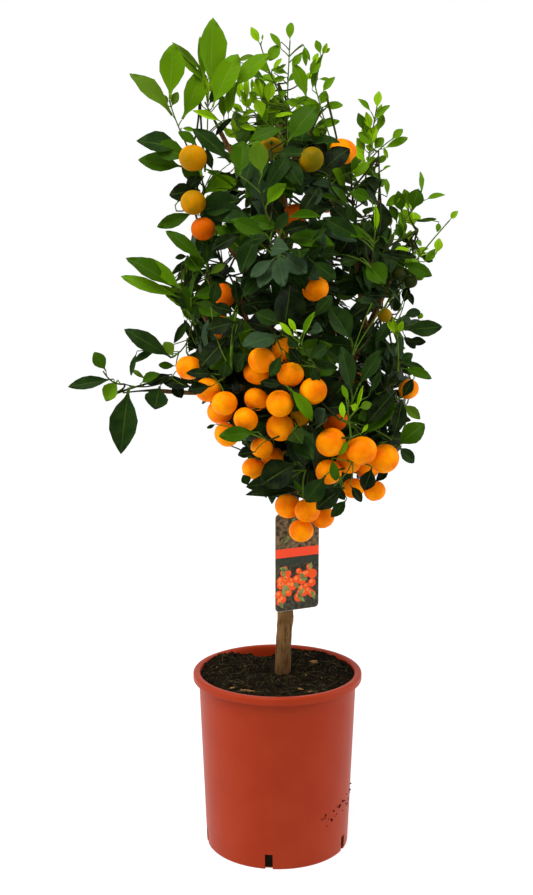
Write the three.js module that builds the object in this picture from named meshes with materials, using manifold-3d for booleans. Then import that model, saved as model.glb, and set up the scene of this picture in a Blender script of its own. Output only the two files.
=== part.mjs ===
// A potted calamondin orange tree: a slim standard with an open, upright crown hung with small round fruit, in a
// plastic pot filled with compost, with a plain loop label on its stem.
// Millimetres, +Z up. The origin is the centre of the pot's underside, and -Y is the front.
import * as THREE from "three";
import { mergeVertices } from "three/addons/utils/BufferGeometryUtils.js";
import Module from "manifold-3d";

const wasm = await Module();
wasm.setup();

// ---------------------------------------------------------------------------------------------- driving sizes

const GAP = 0.3; // between two solids that touch on the real plant
const HAIR = 0.05; // no edge or step in a joined solid is finer
const DEGREE = Math.PI / 180;
const GOLDEN_TURN = 137.508 * DEGREE;

const POT = {
  height: 212,
  rimRadius: 100,
  lipWidth: 6.5,
  lipHeight: 9,
  footRadius: 85,
  footRound: 3,
  wall: 2,
  floor: 2.5,
  sides: 36,
};
const SLOTS = { count: 5, width: 9, height: 19, reach: 7, first: -7 * DEGREE };
const COMPOST = { top: 209, edgeDrop: 2, seatRadius: 17, roughness: 1.6, rings: [38, 66] };

const TRUNK = {
  foot: [6, 0, 200],
  bend: [9.5, 1, 330], // pulls the curve, and isn't on it
  fork: [22, 3, 480],
  footRadius: 9.1,
  forkRadius: 7.4,
  flare: 0.8,
  flareHeight: 0.09,
  knotAt: 0.27,
  knotTurn: 180 * DEGREE,
  knotRise: 1.6,
  knotLength: 0.04,
  sides: 10,
  steps: 10,
};

const LABEL = {
  width: 57,
  height: 116,
  corner: 5,
  thickness: 0.8,
  middle: [22.6, -12, 347.4],
  turn: 26 * DEGREE,
  neckWidth: 12,
  neckHeight: 7,
  loopHeight: 7,
  loopWall: 1.2,
};

// The crown's middle, and how much of a place's way from it counts for the way leaves face there.
const CROWN = { middle: [18, 0, 640], facing: [1, 1, 0.45] };

const LIMB = { sides: 5, steps: 3, follow: -0.08 };
const ENTRANCE = { steps: 40, depth: 5, share: 0.72 }; // where a bough ends: how deep in its mass's space
const STEM = { sides: 4, steps: 1, foot: 0.9, tip: 2.2 };
const TWIG = {
  sides: 3,
  steps: 1,
  foot: 1.25,
  tip: 1.05,
  springFrom: 0.3, // along the stem
  behind: 1.5, // how far round behind the mass the directions of its twigs go
  reach: 0.6, // in half sizes of the mass
  clear: 14, // inside the mass's space
  shortest: 6,
  step: 0.1, // by which a twig that reaches too far is drawn in
  bare: 0.15,
};
const LEAF = {
  width: 0.64,
  belly: 0.46,
  thick: 0.03,
  fold: 0.07,
  droop: 0.08,
  sunk: 0.6,
  turn: 144 * DEGREE,
  light: [0, -0.5, 0.6], // leaves turn to the light as well as outward
  outward: 0.2,
  sizes: [1, 0.85, 0.7],
  twists: [0, 0.6, -0.6, 1.2, -1.2, 2, -2],
};
const FRUIT = {
  around: 7,
  down: 4,
  squat: 0.94,
  apart: 1.03,
  hold: 0.7,
  clear: 2,
  rounds: 12, // of pushing fruits apart
  springFrom: 0.6, // along the stem
  stalkStep: 0.2, // between stalks, along their twig
  stalk: 0.9,
};

// How a mass grows: twigs, leaves on each, length of a leaf, how far leaves hang (or stand, below 0) and the angle
// at which they part from their twig.
const HABITS = {
  broad: { twigs: 4, leaves: 5, leaf: 66, hang: -0.45, part: 50 * DEGREE },
  shoots: { twigs: 4, leaves: 5, leaf: 44, hang: -0.5, part: 45 * DEGREE },
  dense: { twigs: 4, leaves: 5, leaf: 60, hang: 0.15, part: 68 * DEGREE },
  skirt: { twigs: 4, leaves: 4, leaf: 56, hang: 0.4, part: 68 * DEGREE },
  spray: { twigs: 4, leaves: 4, leaf: 54, hang: 0.35, part: 55 * DEGREE },
};

// The masses of foliage: habit, middle, half width, depth and height, the limb that bears the mass's bough and how
// far along it, the bough's radius at its foot and tip, and where the stem inside ends, in half sizes.
const mass = (habit, at, size, on, bough, aim) => ({ habit, at, size, on, bough, aim });
const MASSES = {
  top_centre: mass("shoots", [0, 20, 886], [56, 56, 74], ["trunk", 1], [6.6, 2.8], [0, 0, 0.2]),
  top_left: mass("broad", [-92, -14, 880], [66, 60, 80], ["top_centre", 0.66], [3.8, 2.6], [0, 0, 0.1]),
  top_right: mass("shoots", [58, -14, 866], [48, 54, 74], ["top_centre", 0.85], [3.2, 2.5], [0, 0, 0.2]),
  upper_left: mass("broad", [-96, -22, 766], [66, 66, 66], ["top_centre", 0.4], [3.6, 2.6], [-0.1, 0, 0]),
  upper_front: mass("dense", [-10, -62, 820], [76, 66, 64], ["top_centre", 0.6], [3.6, 2.6], [0, -0.1, 0]),
  middle_front: mass("dense", [2, -86, 718], [80, 70, 64], ["top_centre", 0.4], [3.6, 2.6], [0, -0.1, 0]),
  upper_back: mass("dense", [10, 84, 800], [92, 62, 76], ["top_centre", 0.62], [3.6, 2.6], [0, 0.1, 0]),
  right_tip: mass("shoots", [152, 0, 728], [54, 60, 62], ["trunk", 0.9], [5.4, 2.8], [0.2, 0, 0.1]),
  right_top: mass("shoots", [112, 4, 806], [52, 60, 76], ["right_tip", 0.82], [3, 2.5], [0, 0, 0.2]),
  upper_right: mass("dense", [80, -40, 758], [66, 60, 62], ["right_tip", 0.66], [3.2, 2.5], [0, -0.1, 0]),
  right: mass("dense", [120, -14, 648], [72, 70, 64], ["right_tip", 0.5], [3.4, 2.6], [0.1, -0.1, 0]),
  low_right: mass("skirt", [124, -10, 552], [66, 74, 64], ["right_tip", 0.34], [3.4, 2.6], [0.2, 0, 0]),
  left: mass("dense", [-106, 4, 668], [72, 74, 66], ["trunk", 0.93], [5.2, 2.8], [-0.1, 0, 0]),
  droop: mass("spray", [-182, -20, 548], [64, 48, 74], ["left", 0.52], [3, 2.4], [-0.3, 0, -0.1]),
  low_left: mass("skirt", [-82, -14, 568], [66, 70, 64], ["left", 0.34], [3.2, 2.5], [-0.1, -0.1, 0]),
  front: mass("dense", [0, -92, 618], [78, 70, 64], ["trunk", 0.96], [4.8, 2.8], [0, -0.1, 0]),
  low_front: mass("skirt", [16, -88, 526], [66, 68, 60], ["front", 0.42], [3.2, 2.5], [0, -0.1, 0]),
  back_left: mass("dense", [-62, 92, 694], [84, 66, 72], ["trunk", 0.98], [5, 2.8], [-0.1, 0.1, 0]),
  back_right: mass("dense", [86, 88, 670], [84, 66, 72], ["back_left", 0.3], [3.8, 2.7], [0.1, 0.1, 0]),
  low_back_left: mass("skirt", [-52, 84, 580], [80, 66, 66], ["back_left", 0.22], [3.4, 2.6], [-0.1, 0.1, 0]),
  low_back_right: mass("skirt", [76, 84, 556], [80, 66, 66], ["back_right", 0.3], [3, 2.5], [0.1, 0.1, 0]),
  bottom_left: mass("skirt", [-28, -30, 478], [58, 58, 54], ["trunk", 0.82], [3, 2.5], [-0.1, -0.1, 0]),
  bottom_right: mass("skirt", [84, -42, 480], [62, 60, 56], ["trunk", 0.85], [3.2, 2.5], [0.1, -0.1, 0]),
  bottom_back: mass("skirt", [24, 60, 474], [76, 56, 56], ["trunk", 0.87], [3, 2.5], [0, 0.1, 0]),
  bottom_front: mass("skirt", [26, -50, 432], [50, 42, 50], ["trunk", 0.79], [2.8, 2.4], [0, -0.1, 0]),
};

// The bunches of fruit: the radius of a bunch's fruits and the middle of each.
const bunch = (radius, ...places) => ({ radius, places });
const BUNCHES = [
  bunch(15, [-92, -60, 804]),
  bunch(14, [-92, -60, 757], [-82, -54, 729]),
  bunch(13.5, [-8, -44, 814]),
  bunch(13.6, [34, -86, 801]),
  bunch(14.6, [69, -44, 814]),
  bunch(13.4, [19, -66, 743]),
  bunch(14.2, [39, -92, 666]),
  bunch(13.3, [-59, -66, 658], [-62, -66, 624]),
  bunch(14.4, [-98, -66, 579]),
  bunch(14.5, [-18, -118, 592], [-24, -92, 575], [7, -94, 601]),
  bunch(14.5, [13, -112, 576]),
  bunch(16, [38, -119, 562]),
  bunch(14.3, [-76, -90, 556], [-58, -108, 545], [-68, -82, 529]),
  bunch(13.4, [-36, -113, 529], [-24, -94, 549]),
  bunch(15.2, [2, -120, 547], [4, -100, 520], [24, -88, 534]),
  bunch(13.6, [-57, -94, 512]),
  bunch(14.2, [58, -94, 530]),
  bunch(16.5, [57, -119, 504]),
  bunch(16.6, [90, -119, 495], [117, -104, 482]),
  bunch(14.2, [74, -92, 477], [52, -106, 472], [97, -86, 464]),
  bunch(13.2, [80, -84, 447], [106, -80, 440]),
  bunch(12.8, [-18, -90, 494], [-10, -70, 480], [-30, -80, 470]),
  bunch(14.7, [7, -66, 428], [30, -86, 426]),
  bunch(14.2, [54, -66, 412], [26, -76, 401]),
  bunch(14, [148, -30, 551]),
  bunch(15, [104, 110, 613], [86, 120, 589]),
  bunch(15, [-56, 116, 556], [-82, 104, 550], [-70, 108, 577]),
  bunch(15, [116, 92, 524], [96, 104, 514], [98, 98, 540]),
  bunch(14, [-66, 126, 700]),
  bunch(14, [34, 118, 762]),
  bunch(15, [38, 82, 446], [8, 84, 444], [24, 76, 466]),
];

const FINISHES = {
  pot: { color: 0xa63f26, roughness: 0.45 },
  compost: { color: 0x2b2317, roughness: 0.95 },
  bark: { color: 0x6d563c, roughness: 0.9 },
  foliage: { color: 0x2f5a1e, roughness: 0.5 },
  label: { color: 0xb23a2c, roughness: 0.35 },
};

// ------------------------------------------------------------------------------------------- numbers and points

// A stream of numbers from 0 to 1 that is the same for the same seed.
function randomStream(seed) {
  let state = seed >>> 0;
  return () => {
    state = (state + 0x6d2b79f5) >>> 0;
    let mixed = Math.imul(state ^ (state >>> 15), state | 1);
    mixed ^= mixed + Math.imul(mixed ^ (mixed >>> 7), mixed | 61);
    return ((mixed ^ (mixed >>> 14)) >>> 0) / 4294967296;
  };
}

const point = (places) => new THREE.Vector3(...places);

// from + along * distance
const ahead = (from, along, distance) => from.clone().addScaledVector(along, distance);

const UP = point([0, 0, 1]);

// ------------------------------------------------------------------------------------------------ solids, meshes

// A solid from a closed geometry, in which vertices that share a place become one.
function solidFrom(geometry) {
  geometry.deleteAttribute("normal");
  geometry.deleteAttribute("uv");
  const merged = mergeVertices(geometry, 1e-4);
  const vertProperties = Float32Array.from(merged.attributes.position.array);
  const triVerts = Uint32Array.from(merged.index.array);
  return new wasm.Manifold(new wasm.Mesh({ numProp: 3, vertProperties, triVerts }));
}

// A solid from a list of points and the triangles between them, given as triples of places in the list.
function solidOfPoints(points, triangles) {
  const geometry = new THREE.BufferGeometry().setFromPoints(points);
  geometry.setIndex(triangles.flat());
  return solidFrom(geometry);
}

function meshOf(name, solid, finish) {
  const { vertProperties, triVerts } = solid.getMesh();
  const geometry = new THREE.BufferGeometry();
  geometry.setAttribute("position", new THREE.BufferAttribute(Float32Array.from(vertProperties), 3));
  geometry.setIndex(Array.from(triVerts));
  geometry.computeVertexNormals();
  const mesh = new THREE.Mesh(geometry, new THREE.MeshStandardMaterial({ ...finish, metalness: 0 }));
  mesh.name = name;
  return mesh;
}

// The solids as one, without edges shorter than a hair.
const union = (solids) => wasm.Manifold.union(solids).simplify(HAIR);

// The solid without the scraps that a cut or a miss left loose.
function largestPiece(solid) {
  const pieces = solid.decompose();
  return pieces.reduce((best, piece) => (piece.volume() > best.volume() ? piece : best));
}

// A solid tube along a curve. radiusAt(share) gives its radius; radiusAt(share, angle) may vary round it too. grow
// makes it that much larger on every side, ends included.
function tube(curve, radiusAt, { sides, steps }, grow = 0) {
  const frames = curve.computeFrenetFrames(steps, false);
  const points = [];
  for (let step = 0; step <= steps; step += 1) {
    const share = step / steps;
    const end = step === 0 ? -grow : step === steps ? grow : 0;
    const middle = ahead(curve.getPointAt(share), frames.tangents[step], end);
    for (let side = 0; side < sides; side += 1) {
      const angle = (side / sides) * 2 * Math.PI;
      const radius = radiusAt(share, angle) + grow;
      const out = ahead(middle, frames.normals[step], radius * Math.cos(angle));
      points.push(out.addScaledVector(frames.binormals[step], radius * Math.sin(angle)));
    }
  }
  const triangles = [];
  for (let step = 0; step < steps; step += 1) {
    for (let side = 0; side < sides; side += 1) {
      const near = step * sides;
      const next = (side + 1) % sides;
      triangles.push([near + side, near + next, near + sides + side]);
      triangles.push([near + next, near + sides + next, near + sides + side]);
    }
  }
  const last = steps * sides;
  for (let side = 1; side < sides - 1; side += 1) {
    triangles.push([0, side + 1, side]);
    triangles.push([last, last + side, last + side + 1]);
  }
  return solidOfPoints(points, triangles);
}

const taper = (foot, tip) => (share) => foot + (tip - foot) * share;

// -------------------------------------------------------------------------------------------------------- limbs

function trunkCurve() {
  return new THREE.QuadraticBezierCurve3(point(TRUNK.foot), point(TRUNK.bend), point(TRUNK.fork));
}

// The trunk's radius: a taper, a flared root collar and one low knot.
function trunkRadius(share, angle = 0) {
  const taperedRadius = taper(TRUNK.footRadius, TRUNK.forkRadius)(share);
  const collar = TRUNK.flare * Math.exp(-share / TRUNK.flareHeight);
  const knotHeight = (share - TRUNK.knotAt) / TRUNK.knotLength;
  const knotSide = Math.max(0, Math.cos(angle - TRUNK.knotTurn));
  return taperedRadius + collar + TRUNK.knotRise * knotSide * Math.exp(-knotHeight * knotHeight);
}

// A limb: its curve, its radius along it and its solid, grown by any amount.
function limb(curve, radiusAt, mesh) {
  return { curve, radiusAt, solid: (grow = 0) => tube(curve, radiusAt, mesh, grow) };
}

// The curve of a bough that leaves its bearer at a share of its length, bends with it and ends at a tip.
function boughCurve(bearer, share, tip) {
  const spring = bearer.curve.getPointAt(share);
  const length = spring.distanceTo(tip);
  const bend = ahead(spring.clone().lerp(tip, 0.5), bearer.curve.getTangentAt(share), LIMB.follow * length);
  return new THREE.QuadraticBezierCurve3(spring, bend, tip);
}

// ------------------------------------------------------------------------------------------- a mass's own space

// Each mass keeps to its ellipsoid, and to its side of the plane between it and every other mass.
function spaceOf(name) {
  const middle = point(MASSES[name].at);
  const size = point(MASSES[name].size);
  const weight = (other) => (other.size[0] * other.size[2]);
  const walls = Object.keys(MASSES).filter((other) => other !== name).map((other) => {
    const across = point(MASSES[other].at).sub(middle);
    const distance = across.length();
    const lead = (weight(MASSES[name]) - weight(MASSES[other])) / distance;
    return { out: across.divideScalar(distance), reach: (distance + lead) / 2 - GAP };
  });
  const depth = (place) => Math.min(...walls.map(({ out, reach }) => reach - place.clone().sub(middle).dot(out)));
  const share = (place) => place.clone().sub(middle).divide(size).length();
  const facing = middle.clone().sub(point(CROWN.middle)).multiply(point(CROWN.facing)).normalize();
  return { middle, size, facing, depth, share, holds: (place) => depth(place) > 0 && share(place) <= 1 };
}

// The first place on the way from a limb to the mass's middle that lies well inside its space.
function entrance(space, from) {
  const { steps, depth, share } = ENTRANCE;
  for (let step = 0; step < steps; step += 1) {
    const place = from.clone().lerp(space.middle, step / steps);
    if (space.depth(place) > depth && space.share(place) < share) {
      return place;
    }
  }
  return space.middle.clone();
}

// -------------------------------------------------------------------------------------------------------- fruit

// All fruits. Where two would touch, they are pushed apart.
function fruitPlaces() {
  const fruits = BUNCHES.flatMap(({ radius, places }, number) => {
    return places.map((place) => ({ place: point(place), radius, bunch: number }));
  });
  for (let round = 0; round < FRUIT.rounds; round += 1) {
    fruits.forEach((fruit, index) => {
      fruits.slice(index + 1).forEach((other) => {
        const across = other.place.clone().sub(fruit.place);
        const short = (fruit.radius + other.radius) * FRUIT.apart - across.length();
        if (short > 0) {
          across.normalize();
          fruit.place.addScaledVector(across, -short / 2);
          other.place.addScaledVector(across, short / 2);
        }
      });
    });
  }
  return fruits;
}

function fruitSolid({ place, radius }) {
  const sphere = new THREE.SphereGeometry(radius, FRUIT.around, FRUIT.down);
  sphere.scale(1, 1, FRUIT.squat);
  sphere.translate(place.x, place.y, place.z);
  return solidFrom(sphere);
}

// The mass that bears a bunch is the one whose space holds the bunch's first fruit best.
function bearerOf(bunch, fruits, spaces) {
  const { place } = fruits.find((fruit) => fruit.bunch === bunch);
  return Object.keys(spaces).reduce((best, name) => {
    return spaces[name].depth(place) > spaces[best].depth(place) ? name : best;
  });
}

// -------------------------------------------------------------------------------------------------------- leaves

const LEAF_FACES = [[0, 2, 4], [2, 1, 4], [1, 3, 4], [3, 0, 4], [2, 0, 5], [1, 2, 5], [3, 1, 5], [0, 3, 5]];

// The six corners of a leaf: root, tip, two edges, and the upper and under side. face is the way it looks.
function leafPoints(root, along, face, length) {
  const aside = new THREE.Vector3().crossVectors(along, face).normalize();
  const up = new THREE.Vector3().crossVectors(aside, along);
  const belly = ahead(root, along, LEAF.belly * length);
  const edge = ahead(belly, up, LEAF.fold * length);
  return [
    ahead(root, along, -LEAF.sunk),
    ahead(root, along, length).addScaledVector(up, -LEAF.droop * length),
    ahead(edge, aside, (LEAF.width * length) / 2),
    ahead(edge, aside, (-LEAF.width * length) / 2),
    ahead(belly, up, (LEAF.thick * length) / 2),
    ahead(belly, up, (-LEAF.thick * length) / 2),
  ];
}

function touchesFruit(fruits, root, tip) {
  const line = new THREE.Line3(root, tip);
  const nearest = new THREE.Vector3();
  return fruits.some(({ place, radius }) => {
    line.closestPointToPoint(place, true, nearest);
    return nearest.distanceTo(place) < radius + FRUIT.clear;
  });
}

// -------------------------------------------------------------------------------------------------------- masses

// The directions of a mass's twigs, spread evenly round the way it faces, with none behind it.
function twigDirections(axis, count, start) {
  const aside = new THREE.Vector3().crossVectors(axis, UP).normalize();
  const across = new THREE.Vector3().crossVectors(axis, aside);
  return Array.from({ length: count }, (_, index) => {
    const lean = 1 - (TWIG.behind * (index + 0.5)) / count;
    const turn = start + index * GOLDEN_TURN;
    const flat = Math.sqrt(1 - lean * lean);
    const direction = axis.clone().multiplyScalar(lean);
    direction.addScaledVector(aside, flat * Math.cos(turn));
    return direction.addScaledVector(across, flat * Math.sin(turn));
  });
}

// One twig's leaves: each stands two fifths of a turn on from the last, and the last ends the twig. A leaf that
// would leave the mass's space, or touch a fruit or anything else but its twig, is turned or made smaller, or else
// skipped. roomy tells whether a solid touches nothing.
function leavesOn(curve, habit, space, fruits, random, roomy) {
  const outward = curve.getPoint(1).sub(space.middle).normalize();
  const look = space.facing.clone().add(point(LEAF.light));
  const start = random() * 2 * Math.PI;
  const tries = LEAF.sizes.flatMap((size) => LEAF.twists.map((twist) => [size, twist]));
  const solids = [];
  for (let index = 0; index < habit.leaves; index += 1) {
    const place = TWIG.bare + ((1 - TWIG.bare) * index) / (habit.leaves - 1);
    const part = index === habit.leaves - 1 ? habit.part / 3 : habit.part;
    const root = curve.getPoint(place);
    const tangent = curve.getTangent(place);
    const face = look.clone().add(point([random() - 0.5, random() - 0.5, random() - 0.5])).normalize();
    const length = habit.leaf * (0.85 + 0.3 * random());
    for (const [size, twist] of tries) {
      const aside = new THREE.Vector3().crossVectors(tangent, look).normalize();
      aside.applyAxisAngle(tangent, start + index * LEAF.turn + twist);
      const along = tangent.clone().multiplyScalar(Math.cos(part)).addScaledVector(aside, Math.sin(part));
      along.addScaledVector(outward, LEAF.outward).addScaledVector(UP, -habit.hang).normalize();
      const corners = leafPoints(root, along, face, length * size);
      const solid = solidOfPoints(corners, LEAF_FACES);
      const inside = corners.slice(1).every((corner) => space.holds(corner));
      if (inside && !touchesFruit(fruits, root, corners[1]) && roomy(solid, solids)) {
        solids.push(solid);
        break;
      }
    }
  }
  return solids;
}

// The curves of a mass's leafy twigs.
function leafyTwigs(stem, habit, space, random) {
  const end = stem.getPoint(1);
  const axis = end.clone().sub(stem.getPoint(0)).normalize();
  return twigDirections(space.facing, habit.twigs, random() * 2 * Math.PI).map((direction) => {
    const tip = ahead(space.middle, direction.clone().multiply(space.size), TWIG.reach);
    while (space.depth(tip) < TWIG.clear && tip.distanceTo(end) > TWIG.shortest) {
      tip.lerp(end, TWIG.step);
    }
    const lean = (direction.dot(axis) + 1) / 2;
    return new THREE.LineCurve3(stem.getPoint(TWIG.springFrom + (1 - TWIG.springFrom) * lean), tip);
  });
}

// The fruits of a mass: each bunch has a twig of its own, which ends in one fruit and bears the others on stalks.
function fruitTwigs(stem, own) {
  const bunches = [...new Set(own.map((fruit) => fruit.bunch))];
  return bunches.flatMap((bunch) => {
    const members = own.filter((fruit) => fruit.bunch === bunch);
    const [first, ...others] = members.map((fruit) => ahead(fruit.place, UP, FRUIT.hold * fruit.radius));
    const twig = new THREE.LineCurve3(stem.getPoint(FRUIT.springFrom), first);
    const stalks = others.map((crown, index) => {
      const spring = twig.getPoint(1 - FRUIT.stalkStep * (index + 1));
      return tube(new THREE.LineCurve3(spring, crown), taper(FRUIT.stalk, FRUIT.stalk), TWIG);
    });
    return [tube(twig, taper(TWIG.foot, TWIG.tip), TWIG), ...stalks, ...members.map(fruitSolid)];
  });
}

// The stem of a mass, which goes on from its bough.
function stemOf(name, bough, space) {
  const end = space.middle.clone().add(point(MASSES[name].aim).multiply(space.size));
  const curve = new THREE.LineCurve3(bough.curve.getPoint(1), end);
  return { curve, solid: tube(curve, taper(bough.radiusAt(1) * STEM.foot, STEM.tip), STEM) };
}

// A mass: its stem and fruit, twigs off the stem and leaves on them, all one solid. clear tells whether a solid
// touches no limb, no label and no other mass's fruit.
function growMass(name, bough, space, stem, hung, fruits, clear) {
  const habit = HABITS[MASSES[name].habit];
  const random = randomStream(Object.keys(MASSES).indexOf(name) + 1);
  const twigs = leafyTwigs(stem.curve, habit, space, random)
    .map((curve) => ({ curve, solid: tube(curve, taper(TWIG.foot, TWIG.tip), TWIG) }))
    .filter(({ solid }) => clear(solid));
  const solids = [stem.solid, ...hung];
  const leaves = [];
  twigs.forEach(({ curve, solid }) => {
    const others = [...solids, ...leaves, ...twigs.map((twig) => twig.solid).filter((other) => other !== solid)];
    const roomy = (leaf, siblings) => {
      return clear(leaf) && [...others, ...siblings].every((other) => other.intersect(leaf).isEmpty());
    };
    leaves.push(...leavesOn(curve, habit, space, fruits, random, roomy));
  });
  solids.push(...leaves, ...twigs.map((twig) => twig.solid));
  const mesh = meshOf(`foliage_${name}`, largestPiece(union(solids).subtract(bough.solid(GAP))), FINISHES.foliage);
  const fruit = fruits.filter(({ bearer }) => bearer === name).length;
  mesh.userData = { twigs: twigs.length, leaves: leaves.length, fruit };
  return mesh;
}

// ------------------------------------------------------------------------------------------------ pot and compost

// A turned solid from its half profile, given as pairs of radius and height, from the axis back to the axis.
function turned(profile, sides) {
  const outline = profile.map(([radius, height]) => new THREE.Vector2(radius, height));
  return new THREE.LatheGeometry(outline, sides).rotateX(Math.PI / 2);
}

// The radius of the pot's inner wall at a height.
function innerRadius(height) {
  const top = POT.rimRadius - POT.lipWidth - POT.wall;
  const bottom = POT.footRadius - POT.wall;
  return bottom + ((top - bottom) * (height - POT.floor)) / (POT.height - POT.floor);
}

function potSolid() {
  const { height, rimRadius, lipWidth, lipHeight, footRadius, footRound, wall, floor, sides } = POT;
  const underLip = height - lipHeight;
  const round = 2; // of the lip's edges
  const body = solidFrom(turned([
    [0, 0],
    [footRadius - footRound, 0],
    [footRadius - footRound * 0.3, footRound * 0.3],
    [footRadius, footRound],
    [rimRadius - lipWidth, underLip],
    [rimRadius - round / 2, underLip],
    [rimRadius, underLip + round],
    [rimRadius, height - round],
    [rimRadius - round, height],
    [innerRadius(height) + round, height],
    [innerRadius(height - round), height - round],
    [innerRadius(floor), floor],
    [0, floor],
  ], sides));
  const middleRadius = footRadius - wall / 2;
  const slots = Array.from({ length: SLOTS.count }, (_, index) => {
    const box = new THREE.BoxGeometry(SLOTS.width, 2 * SLOTS.reach, 2 * SLOTS.height);
    box.translate(0, -middleRadius - wall, 0);
    box.rotateZ(SLOTS.first + (index / SLOTS.count) * 2 * Math.PI);
    return solidFrom(box);
  });
  return body.subtract(union(slots));
}

// The compost fills the pot. Its top is gently uneven, with a flat seat for the trunk.
function compostSolid() {
  const { top, edgeDrop, seatRadius, rings, roughness } = COMPOST;
  const floor = POT.floor + GAP;
  const edge = top - edgeDrop;
  const outer = innerRadius(edge) - GAP;
  const geometry = turned([
    [0, floor],
    [innerRadius(floor) - GAP, floor],
    [outer, edge],
    ...rings.toReversed().map((radius) => [radius, top - (edgeDrop * radius) / outer / 2]),
    [seatRadius, top],
    [0, top],
  ], POT.sides);
  const place = geometry.attributes.position;
  for (let index = 0; index < place.count; index += 1) {
    const radius = Math.hypot(place.getX(index), place.getY(index));
    if (place.getZ(index) > edge && radius > seatRadius + 1) {
      const angle = Math.atan2(place.getY(index), place.getX(index));
      const swell = Math.sin(3 * angle + radius / 9) + Math.sin(5 * angle - radius / 13);
      place.setZ(index, place.getZ(index) + (roughness / 2) * swell);
    }
  }
  return solidFrom(geometry);
}

// --------------------------------------------------------------------------------------------------------- label

// A label that hangs in front of the trunk from a loop round it.
function labelSolid(trunk) {
  const { width, height, corner, thickness, middle, turn, neckWidth, neckHeight, loopHeight, loopWall } = LABEL;
  const right = width / 2;
  const top = height / 2;
  const outline = new THREE.Shape();
  outline.absarc(right - corner, top - corner, corner, 0, 90 * DEGREE);
  outline.absarc(corner - right, top - corner, corner, 90 * DEGREE, 180 * DEGREE);
  outline.absarc(corner - right, corner - top, corner, 180 * DEGREE, 270 * DEGREE);
  outline.absarc(right - corner, corner - top, corner, 270 * DEGREE, 360 * DEGREE);
  const panel = new THREE.ExtrudeGeometry(outline, { depth: thickness, bevelEnabled: false, curveSegments: 3 });
  panel.translate(0, 0, -thickness / 2);
  panel.rotateX(Math.PI / 2);
  panel.rotateZ(turn);
  panel.translate(...middle);

  const [x, y, z] = middle;
  const loopMiddle = z + top + neckHeight;
  const share = (loopMiddle - TRUNK.foot[2]) / (TRUNK.fork[2] - TRUNK.foot[2]);
  const hold = trunk.curve.getPointAt(share);
  const slab = new THREE.BoxGeometry(width, width, loopHeight).translate(hold.x, hold.y, loopMiddle);
  const loop = trunk.solid(GAP + loopWall).intersect(solidFrom(slab));

  const across = new THREE.Vector3(Math.cos(turn), Math.sin(turn), 0).multiplyScalar(neckWidth / 2);
  const through = new THREE.Vector3(-Math.sin(turn), Math.cos(turn), 0).multiplyScalar(thickness / 2);
  const below = new THREE.Vector3(x, y, z + top - corner);
  const above = new THREE.Vector3(hold.x, hold.y - trunk.radiusAt(share) / 2, loopMiddle);
  const corners = [below, above].flatMap((end) => [
    end.clone().sub(across).sub(through),
    end.clone().add(across).sub(through),
    end.clone().add(across).add(through),
    end.clone().sub(across).add(through),
  ]);
  const faces = [[0, 3, 2], [0, 2, 1], [4, 5, 6], [4, 6, 7]];
  for (let side = 0; side < 4; side += 1) {
    const next = (side + 1) % 4;
    faces.push([side, next, 4 + next], [side, 4 + next, 4 + side]);
  }
  const neck = solidOfPoints(corners, faces);
  return largestPiece(union([solidFrom(panel), loop, neck]).subtract(trunk.solid(GAP)));
}

// --------------------------------------------------------------------------------------------------------- plant

const plant = new THREE.Group();

const trunk = limb(trunkCurve(), trunkRadius, TRUNK);
const label = labelSolid(trunk);
const limbs = { trunk };
const spaces = {};
const boughSolids = {};
Object.entries(MASSES).forEach(([name, { on: [bearerName, share], bough }]) => {
  const bearer = limbs[bearerName];
  const earlier = union(Object.values(limbs).map(({ solid }) => solid(GAP)));
  spaces[name] = spaceOf(name);
  const tip = entrance(spaces[name], bearer.curve.getPointAt(share));
  limbs[name] = limb(boughCurve(bearer, share, tip), taper(...bough), LIMB);
  boughSolids[name] = largestPiece(limbs[name].solid().subtract(earlier));
});

const fruits = fruitPlaces();
fruits.forEach((fruit) => {
  fruit.bearer = bearerOf(fruit.bunch, fruits, spaces);
});
const stems = {};
const hung = {};
Object.keys(MASSES).forEach((name) => {
  stems[name] = stemOf(name, limbs[name], spaces[name]);
  hung[name] = fruitTwigs(stems[name].curve, fruits.filter(({ bearer }) => bearer === name));
});

const ground = new THREE.BoxGeometry(2 * POT.rimRadius, 2 * POT.rimRadius, POT.height);
ground.translate(0, 0, COMPOST.top + GAP - POT.height / 2);

plant.add(meshOf("pot", potSolid(), FINISHES.pot));
plant.add(meshOf("compost", compostSolid(), FINISHES.compost));
plant.add(meshOf("trunk", trunk.solid().subtract(solidFrom(ground)), FINISHES.bark));
plant.add(meshOf("label", label, FINISHES.label));
Object.keys(MASSES).forEach((name) => {
  const others = Object.keys(limbs).filter((other) => other !== name);
  const otherLimbs = others.map((other) => limbs[other].solid(GAP));
  const otherFruit = others.flatMap((other) => hung[other] ?? []);
  const blocked = union([label, limbs[name].solid(), ...otherLimbs, ...otherFruit]);
  const clear = (solid) => solid.intersect(blocked).isEmpty();
  plant.add(meshOf(`bough_${name}`, boughSolids[name], FINISHES.bark));
  plant.add(growMass(name, limbs[name], spaces[name], stems[name], hung[name], fruits, clear));
});

export default plant;
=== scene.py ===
"""A potted calamondin orange tree: a slim standard with glossy leaves and bunches of small fruit.

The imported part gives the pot's size. The crown grows in millimetres by the part's own rule, which is carried on
here to finer twigs, and every piece is then made in metres in the part's frame.
"""

import functools
import math
from collections import namedtuple

import bmesh
import bpy
import numpy as np
from bpy.props import FloatProperty, FloatVectorProperty, IntProperty, PointerProperty
from mathutils import Matrix, Vector, noise


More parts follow.
